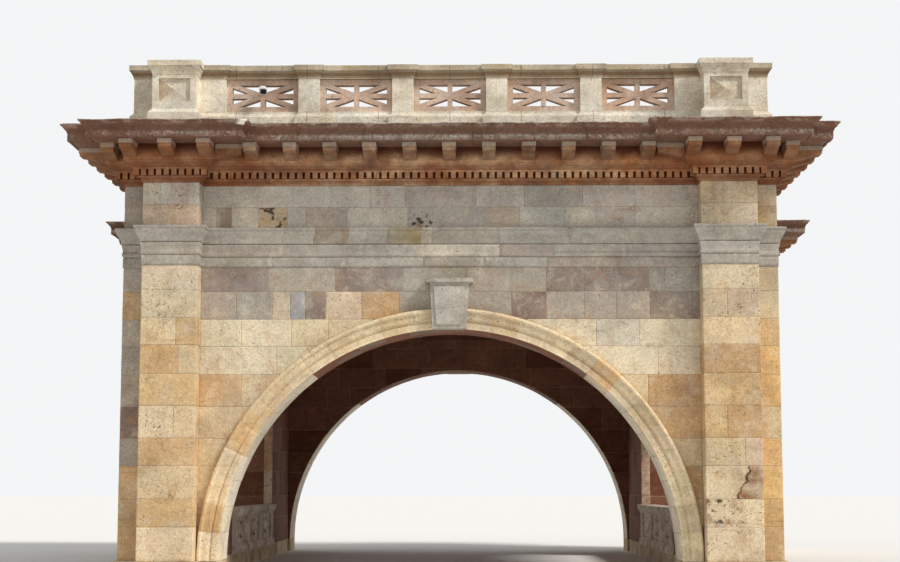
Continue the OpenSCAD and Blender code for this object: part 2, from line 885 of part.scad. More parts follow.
module parapet_rail() {
    color(pale_stone)
        difference() {
            union() {
                parapet_strip(rail_profile);
                pedestal_blocks(rail_profile);
            }
            die_room(rail_profile, 0);
        }
}

// Low diamond point that faces -Y, w wide and h high, its middle at the origin
module diamond_point(w, h, rise) {
    intersection() {
        translate([0, 0, -h / 2])
            linear_extrude(h)
                polygon([[-w / 2, 0], [0, -rise], [w / 2, 0]]);
        translate([-w / 2, 0, 0])
            rotate([90, 0, 90])
                linear_extrude(w)
                    polygon([[0, -h / 2], [0, h / 2], [-rise, 0]]);
    }
}

// Die with a sunk panel that holds a diamond point, on its outer face
module die_body(b) {
    border = 110;
    sunk = 70;
    w = b[1] - b[0] - 2 * border;
    h = panel_h - 2 * border + 30;
    outwards = b[2] < 0 ? 1 : -1;
    y_face = b[2] < 0 ? b[2] : b[3];
    mid = [(b[0] + b[1]) / 2, y_face + outwards * sunk, panel_z + border + h / 2];
    difference() {
        translate([b[0], b[2], panel_z])
            cube([b[1] - b[0], b[3] - b[2], panel_h]);
        translate([mid[0] - w / 2, mid[1] - (outwards > 0 ? 2 : 0) * sunk, mid[2] - h / 2])
            cube([w, 2 * sunk, h]);
    }
    translate(mid)
        rotate([0, 0, outwards > 0 ? 0 : 180])
            diamond_point(w, h, sunk - 15);
}

module corner_dies() {
    color(pale_stone) {
        die_blocks(base_profile, 0);
        both_sides()
            for (b = dies)
                die_body(b);
        die_blocks(rail_profile, 0);
    }
}

// Pierced panel that fills a bay, in the plane of X and Z, middle at the origin
module pierced_panel(w, h, z0) {
    frame_side = 105;
    frame_top = 100;
    frame_foot = 105;
    a = w / 2 - frame_side;
    b = (h - frame_top - frame_foot) / 2;
    t = panel_bar / 2;
    d = sqrt(a * a + b * b);
    translate([0, panel_t / 2, z0])
        rotate([90, 0, 0])
            linear_extrude(panel_t)
                difference() {
                    translate([-w / 2, 0])
                        square([w, h]);
                    translate([0, frame_foot + b])
                        for (sx = [0, 1], sz = [0, 1])
                            mirror([sx, 0])
                                mirror([0, sz]) {
                                    polygon([[t * (d + a) / b, t], [a, t], [a, b - t * d / a]]);
                                    polygon([[t, t * (d + b) / a], [t, b], [a - t * d / b, b]]);
                                }
                }
}

module near_pierced_panels() {
    color(warm_stone)
        for (i = [0 : bays_front - 1])
            translate([front_mid(i), py + parapet_t / 2, 0])
                pierced_panel(bay_w, panel_h, panel_z);
}

module far_pierced_panels() {
    color(warm_stone)
        for (i = [0 : bays_front - 1])
            translate([front_mid(i), qy - parapet_t / 2, 0])
                pierced_panel(bay_w, panel_h, panel_z);
}

module side_pierced_panels() {
    color(warm_stone)
        for (s = [-1, 1]) {
            for (i = [0 : bays_side - 1])
                translate([s * (px - parapet_t / 2), side_mid(i), 0])
                    rotate([0, 0, 90])
                        pierced_panel(bay_w, panel_h, panel_z);
            translate([s * (qx - parapet_t / 2), wing_mid_y, 0])
                rotate([0, 0, 90])
                    pierced_panel(bay_w, panel_h, panel_z);
        }
}

// Balustrade across each side opening, between the inner jambs

guard_t = 260;
guard_x = room_x + nib_t / 2;
guard_base_h = 170;
guard_rail_h = 180;
guard_pedestal_w = 390;
guard_z = plinth_h + guard_base_h;
guard_panel_h = guard_top_z - guard_rail_h - guard_z;
guard_pitch = (side_open_w - guard_pedestal_w) / guard_bays;
guard_bay_w = guard_pitch - guard_pedestal_w;
guard_over = 70;
guard_rail_profile = concat(
    cyma_reversa([10, guard_top_z - guard_rail_h], [guard_over - 15, guard_top_z - 95], rail_steps),
    [[guard_over, guard_top_z - 90], [guard_over, guard_top_z]]);
guard_base_profile = [[40, plinth_h], [40, guard_z - 60], [0, guard_z - 20], [0, guard_z]];

// One run of the balustrade with a profile, on the right-hand side; it ends
// flat against the jambs
module guard_run(profile) {
    intersection() {
        moulded_block(guard_x - guard_t / 2, guard_x + guard_t / 2,
                      open_y0 - reach, open_y1 + reach, profile);
        translate([0, open_y0, 0])
            cube([near_x, side_open_w, string_z]);
    }
}

module guard_pedestals() {
    color(pale_stone)
        both_sides() {
            guard_run(guard_base_profile);
            for (i = [0 : guard_bays])
                translate([guard_x - guard_t / 2, open_y0 + i * guard_pitch, guard_z])
                    cube([guard_t, guard_pedestal_w, guard_panel_h]);
        }
}

module guard_panels() {
    color(warm_stone)
        for (s = [-1, 1], i = [0 : guard_bays - 1])
            translate([s * guard_x, open_y0 + guard_pedestal_w / 2 + (i + 0.5) * guard_pitch, 0])
                rotate([0, 0, 90])
                    pierced_panel(guard_bay_w, guard_panel_h, guard_z);
}

module guard_rails() {
    color(pale_stone)
        both_sides()
            guard_run(guard_rail_profile);
}

// Small watch camera on the left-most pierced panel of the near parapet: a
// housing on a short arm, tilted down and turned a little to the right
module watch_camera() {
    body = [140, 250, 120];
    bevel = 25;
    lens_r = 46;
    lens_l = 12;
    arm_l = 90;
    arm_r = 22;
    bite = 5;
    tilt = 25;
    turn = 14;
    cam_x = 20 - 2 * pedestal_pitch;
    cam_y = py + parapet_t / 2 - panel_t / 2;
    cam_z = panel_z + panel_h - 180;
    color("whitesmoke") {
        translate([cam_x, cam_y, cam_z])
            rotate([90, 0, 0])
                cylinder(h = arm_l, r = arm_r, $fn = 24);
        translate([cam_x, cam_y + body[0] / 6 - arm_l, cam_z])
            rotate([tilt, 0, turn]) {
                rotate([90, 0, 0])
                    linear_extrude(body[1])
                        polygon([[-body[0] / 2, -body[2] / 2], [body[0] / 2, -body[2] / 2],
                                 [body[0] / 2, body[2] / 2 - bevel],
                                 [body[0] / 2 - bevel, body[2] / 2],
                                 [bevel - body[0] / 2, body[2] / 2],
                                 [-body[0] / 2, body[2] / 2 - bevel]]);
                translate([0, bite - body[1], 0])
                    rotate([90, 0, 0])
                        cylinder(h = lens_l + bite, r = lens_r, $fn = 32);
            }
    }
}

plinth_left();
plinth_right();
near_pier_left();
near_pier_right();
near_arch_wall();
near_pilasters();
near_archivolt();
near_keystone();
near_string_course();
near_bed_moulding();
near_modillions();
near_cornice();
side_wall_piers_left();
side_wall_piers_right();
side_arch_wall_left();
side_arch_wall_right();
side_archivolts();
side_keystones();
side_string_courses();
side_bed_mouldings();
side_modillions();
side_cornices();
far_wing_left();
far_wing_right();
far_pier_left();
far_pier_right();
far_arch_wall();
far_pilasters();
far_archivolt();
far_keystone();
far_string_course();
far_bed_moulding();
far_modillions();
far_cornice();
ceiling_vault();
roof_slab();
parapet_base();
parapet_pedestals();
parapet_rail();
corner_dies();
near_pierced_panels();
side_pierced_panels();
far_pierced_panels();
guard_pedestals();
guard_panels();
guard_rails();
watch_camera();
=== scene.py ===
"""Dresses the triumphal arch: ashlar facing, worn mouldings, finishes, light and camera.

The CAD nodes give every size. Stones are height fields on walls, mouldings are
profiles carried along paths, and both are worked out as whole arrays.
"""

import logging
import math
from collections.abc import Callable, Sequence
from dataclasses import dataclass, field, replace
from enum import Enum
from functools import cached_property, partial
from itertools import pairwise, product

import bmesh
import bpy
import numpy as np
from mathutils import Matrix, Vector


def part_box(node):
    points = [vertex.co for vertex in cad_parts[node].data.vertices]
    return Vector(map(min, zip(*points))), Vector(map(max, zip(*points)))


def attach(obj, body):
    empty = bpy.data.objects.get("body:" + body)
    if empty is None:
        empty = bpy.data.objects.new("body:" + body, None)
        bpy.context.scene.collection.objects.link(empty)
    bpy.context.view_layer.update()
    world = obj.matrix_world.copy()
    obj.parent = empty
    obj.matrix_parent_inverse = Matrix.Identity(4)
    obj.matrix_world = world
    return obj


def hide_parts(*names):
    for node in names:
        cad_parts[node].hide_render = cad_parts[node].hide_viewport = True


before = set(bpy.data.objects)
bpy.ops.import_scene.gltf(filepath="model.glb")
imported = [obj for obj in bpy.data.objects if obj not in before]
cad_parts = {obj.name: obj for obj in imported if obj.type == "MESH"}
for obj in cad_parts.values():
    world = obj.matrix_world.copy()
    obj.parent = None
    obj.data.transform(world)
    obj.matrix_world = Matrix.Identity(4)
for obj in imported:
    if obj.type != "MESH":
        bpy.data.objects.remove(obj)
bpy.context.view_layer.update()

LOG = logging.getLogger("triumphal_arch")
Array = np.ndarray
Place = Callable[[Array, Array, Array], Array]
WHITE = EVEN = (1.0, 1.0, 1.0)


def srgb(code: str) -> tuple[float, float, float]:
    """Linear red, green and blue of a six-digit hexadecimal sRGB code."""
    parts = [int(code[i:i + 2], 16) / 255 for i in (0, 2, 4)]
    return tuple(c / 12.92 if c <= 0.04045 else ((c + 0.055) / 1.055) ** 2.4 for c in parts)


# Noise in numpy


def lattice(cells: Array, seed: int) -> Array:
    """Random value for each whole-numbered cell.

    The coordinates and the seed are multiplied by large odd numbers, added
    and scrambled by shifts.

    Args:
        cells: Whole coordinates, shape (..., 3).
        seed: Picks the field.

    Returns:
        Values from 0 to 1, shape (...).
    """
    c = cells.astype(np.int64)
    h = c[..., 0] * 374761393 + c[..., 1] * 668265263 + c[..., 2] * 2147483647 + seed * 974711
    h = (h ^ (h >> 13)) * 1274126177 & 0x7FFFFFFF
    h = (h ^ (h >> 16)) & 0xFFFF
    return h / 65535.0


def value_noise(points: Array, seed: int) -> Array:
    """Smooth noise: the eight lattice values round each point, blended with a cubic ease.

    Args:
        points: Places in lattice cells, shape (..., 3).
        seed: Picks the field.

    Returns:
        Noise from 0 to 1, shape (...).
    """
    base = np.floor(points)
    f = points - base
    f = f * f * (3 - 2 * f)
    ease = (1 - f, f)
    total = np.zeros(points.shape[:-1])
    for i, j, k in product((0, 1), repeat=3):
        total += ease[i][..., 0] * ease[j][..., 1] * ease[k][..., 2] * lattice(base + (i, j, k), seed)
    return total


def fbm(points: Array, per_metre: float, octaves: int, seed: int) -> Array:
    """Sum of noises, each twice as fine and half as strong as the one before.

    Args:
        points: Places in metres, shape (..., 3).
        per_metre: Cells of the coarsest noise in a metre.
        octaves: How many noises are added.
        seed: Picks the field.

    Returns:
        Values round 0, between about -1 and 1, shape (...).
    """
    total = np.zeros(points.shape[:-1])
    for octave in range(octaves):
        total += (value_noise(points * per_metre * 2 ** octave, seed + octave) - 0.5) / 2 ** octave
    return total


# Meshes from arrays


@dataclass
class Surface:
    """Grids of points gathered into one mesh, with a tone and a soundness for each point."""

    name: str
    points: list[Array] = field(default_factory=list)
    quads: list[Array] = field(default_factory=list)
    tones: list[Array] = field(default_factory=list)
    count: int = 0

    def add(self, grid: Array, tone: Sequence[float], flip: bool = False) -> None:
        """Adds a grid of points; its quads join each point to the next along both sides.

        Args:
            grid: Points, shape (rows, columns, 3).
            tone: Colour of the whole grid, or colour and soundness of each point.
            flip: Turns the faces over.
        """
        rows, columns = grid.shape[:2]
        if np.ndim(tone) == 1:
            tone = (*tone[:3], 1.0)
        index = np.arange(rows * columns).reshape(rows, columns) + self.count
        quads = np.stack([index[:-1, :-1], index[:-1, 1:], index[1:, 1:], index[1:, :-1]], -1).reshape(-1, 4)
        self.quads.append(quads[:, ::-1] if flip else quads)
        self.points.append(grid.reshape(-1, 3))
        self.tones.append(np.broadcast_to(np.asarray(tone, dtype=float), (rows, columns, 4)).reshape(-1, 4))
        self.count += rows * columns

    def build(self, merge: float = 0.0) -> bpy.types.Object:
        """Makes the mesh object, smooth shaded, with its tones as a colour attribute.

        Args:
            merge: Joins points that lie this close, for shells made of several grids.

        Returns:
            The object, linked to the scene.
        """
        points, quads = np.concatenate(self.points), np.concatenate(self.quads)
        mesh = bpy.data.meshes.new(self.name)
        mesh.vertices.add(len(points))
        mesh.vertices.foreach_set("co", points.astype(np.float32).ravel())
        mesh.loops.add(quads.size)
        mesh.loops.foreach_set("vertex_index", quads.astype(np.int32).ravel())
        mesh.polygons.add(len(quads))
        mesh.polygons.foreach_set("loop_start", np.arange(0, quads.size, 4, dtype=np.int32))
        mesh.polygons.foreach_set("use_smooth", np.ones(len(quads), dtype=bool))
        mesh.update(calc_edges=True)
        tone = mesh.attributes.new("tone", "FLOAT_COLOR", "POINT")
        tone.data.foreach_set("color", np.concatenate(self.tones).astype(np.float32).ravel())
        mesh.validate()
        if merge:
            shell = bmesh.new()
            shell.from_mesh(mesh)
            bmesh.ops.remove_doubles(shell, verts=shell.verts, dist=merge)
            shell.to_mesh(mesh)
            shell.free()
        thing = bpy.data.objects.new(self.name, mesh)
        bpy.context.scene.collection.objects.link(thing)
        return thing


def dress(thing: bpy.types.Object, finish: bpy.types.Material, slot: str, *nodes: str) -> None:
    """Gives a new piece its material and body, and hides the CAD nodes it stands for.

    Args:
        thing: The piece.
        finish: Its material.
        slot: Not used.
        nodes: CAD nodes that it replaces.
    """
    thing.data.materials.append(finish)
    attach(thing, "root")
    if nodes:
        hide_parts(*nodes)
    LOG.info("%s: %d faces", thing.name, len(thing.data.polygons))


# Sockets with arithmetic, and finishes


class Maths(Enum):
    """Operations of a Math node that the finishes use."""

    ADD = "ADD"
    SUBTRACT = "SUBTRACT"
    MULTIPLY = "MULTIPLY"
    MODULO = "MODULO"
    MINIMUM = "MINIMUM"
    MAXIMUM = "MAXIMUM"
    ABSOLUTE = "ABSOLUTE"
    PINGPONG = "PINGPONG"


class Blend(Enum):
    """Ways of mixing two colours."""

    MIX = "MIX"
    MULTIPLY = "MULTIPLY"


@dataclass(frozen=True)
class Value:
    """One output socket, on which sums are written as plain expressions."""

    shader: "Shader"
    socket: bpy.types.NodeSocket

    def maths(self, kind: Maths, first: object, second: object = 0.0) -> "Value":
        """Adds one Math node on two values."""
        return self.shader.node("ShaderNodeMath", {"operation": kind.value}, {0: first, 1: second})

    def __add__(self, other: object) -> "Value":
        """Sum."""
        return self.maths(Maths.ADD, self, other)

    def __radd__(self, other: object) -> "Value":
        """Sum, reflected."""
        return self.maths(Maths.ADD, other, self)

    def __sub__(self, other: object) -> "Value":
        """Difference."""
        return self.maths(Maths.SUBTRACT, self, other)

    def __rsub__(self, other: object) -> "Value":
        """Difference, reflected."""
        return self.maths(Maths.SUBTRACT, other, self)

    def __mul__(self, other: object) -> "Value":
        """Product."""
        return self.maths(Maths.MULTIPLY, self, other)

    def __rmul__(self, other: object) -> "Value":
        """Product, reflected."""
        return self.maths(Maths.MULTIPLY, other, self)

    def __mod__(self, other: object) -> "Value":
        """Remainder."""
        return self.maths(Maths.MODULO, self, other)

    def __abs__(self) -> "Value":
        """Size without the sign."""
        return self.maths(Maths.ABSOLUTE, self)

    def to_nearest(self, step: float) -> "Value":
        """Distance to the nearest multiple of a step."""
        return self.maths(Maths.PINGPONG, self, step / 2)

    def smaller(self, other: object) -> "Value":
        """The smaller of two values."""
        return self.maths(Maths.MINIMUM, self, other)

    def larger(self, other: object) -> "Value":
        """The larger of two values."""
        return self.maths(Maths.MAXIMUM, self, other)

    def between(self, low: float, high: float) -> "Value":
        """Eases from 0 at low to 1 at high, which may be the smaller of the two."""
        return self.shader.node("ShaderNodeMapRange", {"interpolation_type": "SMOOTHSTEP"},
                                {"Value": self, "From Min": low, "From Max": high})


class Shader:
    """A node tree, with one method that adds any node. Colours are written as sRGB codes."""

    def __init__(self, owner: bpy.types.Material | bpy.types.World) -> None:
        """Empties the tree of a material or a world.

        Args:
            owner: Material or world.
        """
        owner.use_nodes = True
        self.owner = owner
        self.tree = owner.node_tree
        self.tree.nodes.clear()

    @cached_property
    def place(self) -> Value:
        """The object's own coordinates."""
        return self.node("ShaderNodeTexCoord", out="Object")

    def node(self, kind: str, settings: dict[str, object] | None = None,
             inputs: dict[object, object] | None = None, out: object = 0) -> Value:
        """Adds a node, makes its settings, then fills or links its sockets.

        Args:
            kind: Type of the node.
            settings: Properties set first; "stops" fills a colour ramp.
            inputs: Sockets by name or number, each a Value or a plain value.
            out: Output that is handed back.

        Returns:
            The output.
        """
        made = self.tree.nodes.new(kind)
        for key, value in (settings or {}).items():
            if key != "stops":
                setattr(made, key, value)
                continue
            ramp = made.color_ramp.elements
            while len(ramp) < len(value):
                ramp.new(0.5)
            for element, (at, code) in zip(ramp, value):
                element.position, element.color = at, (*srgb(code), 1)
        for key, value in (inputs or {}).items():
            if isinstance(value, Value):
                self.tree.links.new(value.socket, made.inputs[key])
            else:
                made.inputs[key].default_value = value
        return Value(self, made.outputs[out])

    def stretched(self, factors: Sequence[float], shift: float) -> Value:
        """Object coordinates times one factor for each axis, moved by a shift on all three."""
        return self.node("ShaderNodeVectorMath", {"operation": "MULTIPLY_ADD"},
                         {0: self.place, 1: factors, 2: (shift, shift, shift)})

    def noise(self, scale: float, detail: float, rough: float, where: Value | None = None,
              bend: float = 0.0) -> Value:
        """Noise over the object.

        Args:
            scale: Cells in a metre.
            detail: Octaves.
            rough: Strength of the finer octaves.
            where: Coordinates, the object's own if none.
            bend: Distortion.

        Returns:
            The noise, from 0 to 1.
        """
        return self.node("ShaderNodeTexNoise", {},
                         {"Vector": where or self.place, "Scale": scale, "Detail": detail,
                          "Roughness": rough, "Distortion": bend}, "Fac")

    def mix(self, first: object, second: object, factor: object, blend: Blend = Blend.MIX) -> Value:
        """Mixes two colours, each a Value or an sRGB code.

        Args:
            first: Colour at factor 0.
            second: Colour at factor 1.
            factor: Share of the second.
            blend: How they mix.

        Returns:
            The mixed colour.
        """
        pair = [one if isinstance(one, Value) else (*srgb(one), 1) for one in (first, second)]
        return self.node("ShaderNodeMix", {"data_type": "RGBA", "blend_type": blend.value},
                         {0: factor, 6: pair[0], 7: pair[1]}, 2)

    def grey(self, value: Value) -> Value:
        """A value as a grey colour."""
        return self.node("ShaderNodeCombineColor", {}, {0: value, 1: value, 2: value})

    def part(self, axis: int) -> Value:
        """One of the object's coordinates: 0 for X, 1 for Y, 2 for Z."""
        return self.node("ShaderNodeSeparateXYZ", {}, {0: self.place}, axis)

    def facing(self, axis: int) -> Value:
        """How much the surface faces along an axis, from -1 to 1."""
        normal = self.node("ShaderNodeNewGeometry", out="Normal")
        return self.node("ShaderNodeSeparateXYZ", {}, {0: normal}, axis)

    def finish(self, colour: Value, rough: Value, height: Value, bump: float, depth: float) -> bpy.types.Material:
        """Closes the tree with a dull surface in relief.

        Args:
            colour: Base colour.
            rough: Roughness.
            height: Relief from 0 to 1.
            bump: Strength of the relief.
            depth: Depth of the relief in metres.

        Returns:
            The material.
        """
        normal = self.node("ShaderNodeBump", {}, {"Strength": bump, "Distance": depth, "Height": height})
        return self.close(self.node("ShaderNodeBsdfPrincipled", {}, {
            "Base Color": colour, "Roughness": rough, "Normal": normal, "Specular IOR Level": 0.25}))

    def close(self, surface: Value, end: str = "ShaderNodeOutputMaterial") -> bpy.types.Material | bpy.types.World:
        """Links a surface to an output node and hands back the owner of the tree."""
        self.tree.links.new(surface.socket, self.tree.nodes.new(end).inputs["Surface"])
        return self.owner


WALL_X, WALL_Y, PILASTER_DEPTH = 5.91, 7.0, 0.4


@dataclass(frozen=True)
class Limestone:
    """Weathered limestone: patches, mottling, veins, pits, grey weathering and brown stains, with painted shade:
    greyer and browner high on the walls, darker on downward faces, in recesses and on left-turned facets.
    """

    name: str
    pale: str = "E2CDA9"
    warm: str = "D2AC7B"
    deep: str = "B98A5C"
    stain: str = "8A5A3A"
    bloom: str = "D3C6B2"
    grey: str = "A5A29B"
    crust: str = "4A3A31"
    pit: str = "5B4434"
    drip: str = "8C5F40"
    left_facet_shade: str = "B0926F"
    rust: str = "8E4F26"
    cap: str = "B3A493"
    fresh: str = "F3ECDF"
    bloom_amount: float = 0.3
    grey_amount: float = 0.25
    grey_from: float = 4.3
    grey_to: float = 5.4
    stain_amount: float = 0.2
    streak_amount: float = 0.25
    pit_amount: float = 0.6
    crust_amount: float = 0.0
    crust_scale: float = 2.7
    drip_and_shade_amount: float = 0.0
    left_facet_shade_amount: float = 0.0
    rust_amount: float = 0.0
    fleck_amount: float = 0.0
    underside_shade_and_grime_amount: float = 0.0
    lip_amount: float = 0.0
    recess_shade_amount: float = 0.0
    cap_amount: float = 0.0
    cap_from: float = 7.6
    joint_every: float = 0.0
    blocks: bool = True
    bump: float = 0.35

    def build(self) -> bpy.types.Material:
        """Lays the stone's colour, weathering, stains, painted shade, pits, grain and joints over each other.

        Returns:
            The material.
        """
        s = Shader(bpy.data.materials.new(self.name))
        mottle = s.noise(4.2, 6.0, 0.66, bend=0.4)
        fine = s.noise(38.0, 4.0, 0.62)
        veins = s.noise(2.6, 5.0, 0.62, s.stretched((0.55, 0.55, 2.6), 3.1), 1.3)
        if self.blocks:
            base, sound = (s.node("ShaderNodeAttribute", {"attribute_name": "tone"}, out=out)
                           for out in ("Color", "Alpha"))
        else:
            ramp = [(0.3, self.deep), (0.46, self.warm), (0.62, self.pale)]
            tone = s.noise(1.7, 2.0, 0.5, s.stretched((1.0, 1.0, 1.4), 7.7))
            base = s.node("ShaderNodeValToRGB", {"stops": ramp}, {0: tone})
        for amount, colour, mask in self.layers(s, mottle, veins):
            if amount:
                base = s.mix(base, colour, mask() * amount)
        pits = self.pits(s)
        base = s.mix(base, self.pit, pits)
        broad = s.noise(1.3, 4.0, 0.6, s.stretched((1.0, 1.0, 1.4), 61.0), 0.5)
        speckle, grain = s.noise(15.0, 4.0, 0.72), s.noise(70.0, 2.0, 0.6)
        for noise, gain, least, share in ((broad, 1.5, 0.27, 0.6), (speckle, 1.3, 0.35, 0.5),
                                          (fine, 1.25, 0.38, 0.7), (grain, 0.8, 0.6, 0.6)):
            base = s.mix(base, s.grey(noise * gain + least), share, Blend.MULTIPLY)
        if self.blocks:
            base = s.mix(base, s.grey(sound.smaller(1.0)), 1.0, Blend.MULTIPLY)
            base = s.mix(base, self.fresh, sound.between(1.25, 1.75))
        if self.joint_every:
            base = self.draw_joints(s, base)
        relief = mottle * 0.5 + fine * 0.28 - pits * 0.8 + veins * 0.12
        return s.finish(base, fine * 0.12 + 0.8, relief, self.bump, 0.03)

    def layers(self, s: Shader, mottle: Value, veins: Value) -> tuple[tuple[float, str, Callable[[], Value]], ...]:
        """Colours that cover the stone, in order.

        Args:
            s: Shader being built.
            mottle: Noise of a hand's breadth.
            veins: Noise drawn out along the beds.

        Returns:
            Amount, colour and mask of each; a mask is only made if its amount isn't 0.
        """
        level = s.part(2)
        patch = s.noise(0.8, 4.0, 0.6)
        bloom = s.noise(2.3, 5.0, 0.62, s.stretched(EVEN, 41.0), 0.4)
        patch_noise = s.noise(1.1, 5.0, 0.65, s.stretched((1.0, 1.0, 0.8), 11.3))
        run = s.noise(1.0, 5.0, 0.6, s.stretched((3.4, 3.4, 0.32), 2.3))
        blot = s.noise(1.9, 6.0, 0.7, s.stretched(EVEN, 5.9), 0.6)
        return (
            (0.3, self.pale, lambda: patch.between(0.5, 0.72)),
            (0.42, self.deep, lambda: mottle.between(0.5, 0.7)),
            (0.4, self.pale, lambda: mottle.between(0.48, 0.32)),
            (self.bloom_amount, self.bloom, lambda: bloom.between(0.52, 0.64)),
            (0.3, self.stain, lambda: veins.between(0.6, 0.7)),
            # Grey weathering that grows with height; on the walls the rise from grey_from to grey_to is also painted
            # shade under the string course and the cornice.
            (self.grey_amount, self.grey, lambda: patch_noise.between(0.32, 0.56)
             * (level.between(self.grey_from, self.grey_to) * 0.85 + 0.15)),
            # Brown runs below the entablature: real drips, and also painted shade of the cornice over the tops of
            # walls and pilasters.
            (self.drip_and_shade_amount, self.drip, lambda: level.between(6.3, 7.06) * run.between(0.36, 0.62)),
            (self.streak_amount, self.stain, lambda: run.between(0.54, 0.72)),
            (self.stain_amount, self.stain, lambda: blot.between(0.55, 0.7)),
            (self.crust_amount, self.crust, lambda: s.noise(
                self.crust_scale, 7.0, 0.75, s.stretched((1.0, 1.0, 1.3), 17.0), 0.5).between(0.45, 0.56)),
            # Painted shade on front faces that turn to the left, such as the left facets of the diamond points.
            (self.left_facet_shade_amount, self.left_facet_shade, lambda: s.facing(0).between(-0.03, -0.1)
             * s.facing(1).between(-0.5, -0.8) * (patch_noise * 0.6 + 0.5)),
            (self.rust_amount, self.rust, lambda: abs(s.part(0)).between(3.2, 3.8) * (patch_noise * 0.8 + 0.5)),
            (self.cap_amount, self.cap, lambda: level.between(self.cap_from, self.cap_from + 0.02)),
            # Painted shade in the recesses of the entablature, in the stain colour.
            (self.recess_shade_amount, self.stain, lambda: self.painted_recess_shade(s, level)),
            (self.fleck_amount, self.pale, lambda: s.noise(19.0, 5.0, 0.75).between(0.52, 0.6)
             * patch_noise.between(0.3, 0.55)),
            # Darker on downward faces: painted shade under overhangs, mixed with blotchy grime, in the stain colour.
            (self.underside_shade_and_grime_amount, self.stain, lambda: s.facing(2).between(0.25, -0.55)
             * (blot * 0.6 + 0.75).smaller(1.0)),
            (self.lip_amount, self.pale, lambda: level.between(7.9, 7.97) * s.noise(
                3.3, 6.0, 0.7, s.stretched((1.0, 1.0, 2.2), 31.0), 0.3).between(0.49, 0.56)))

    def pits(self, s: Shader) -> Value:
        """Holes and specks, gathered in zones.

        Args:
            s: Shader being built.

        Returns:
            The mask.
        """
        holes, specks = s.noise(21.0, 3.0, 0.6), s.noise(46.0, 2.0, 0.5)
        zone = s.noise(1.6, 3.0, 0.55, s.stretched(EVEN, 23.0))
        small = specks.between(0.63, 0.69) * zone.between(0.3, 0.56) * 0.85
        return (holes.between(0.62, 0.68) * zone.between(0.44, 0.6)).larger(small) * self.pit_amount

    def draw_joints(self, s: Shader, base: Value) -> Value:
        """Draws a dark upright line at every multiple of the stone length, along X or Y.

        Args:
            s: Shader being built.
            base: Colour so far.

        Returns:
            The colour with joints.
        """
        for axis in (0, 1):
            line = s.part(axis).to_nearest(self.joint_every).between(0.007, 0.003)
            base = s.mix(base, self.pit, line * abs(s.facing(axis)).between(0.5, 0.3) * 0.75)
        return base

    def painted_recess_shade(self, s: Shader, level: Value) -> Value:
        """Painted shade behind the dentils and between the modillions.

        The distance from the wall line is the larger of the two plan
        distances; since a pilaster stands out by as much as the remainder
        is wrapped at, walls and pilasters give the same value.

        Args:
            s: Shader being built.
            level: Height.

        Returns:
            The mask.
        """
        x, y = abs(s.part(0)), abs(s.part(1))
        front = y.between(6.94, WALL_Y)
        out = (front * (y - WALL_Y) + (1 - front) * (x - WALL_X)).larger(0.0) % PILASTER_DEPTH
        teeth = level.between(7.145, 7.155) * level.between(7.265, 7.255) * out.between(0.158, 0.1)
        return (teeth * 0.92).larger(level.between(7.42, 7.66) * 0.95)


@dataclass(frozen=True)
class Paint:
    """Smooth coating with a little dust, for the watch camera."""

    name: str
    colour: str
    dust: str
    rough: float

    def build(self) -> bpy.types.Material:
        """Dusts the film of paint along a fine noise.

        Returns:
            The material.
        """
        s = Shader(bpy.data.materials.new(self.name))
        film = s.noise(18.0, 4.0, 0.6)
        colour = s.mix(self.colour, self.dust, film.between(0.42, 0.7) * 0.45)
        return s.finish(colour, film * 0.2 + self.rough, film, 0.05, 0.002)


@dataclass(frozen=True)
class StagePaint:
    """Plain matt colour of the floor."""

    name: str = "stage_floor"
    colour: str = "F1EFEB"

    def build(self) -> bpy.types.Material:
        """Makes the material."""
        s = Shader(bpy.data.materials.new(self.name))
        return s.close(s.node("ShaderNodeBsdfDiffuse", {}, {"Color": (*srgb(self.colour), 1)}))


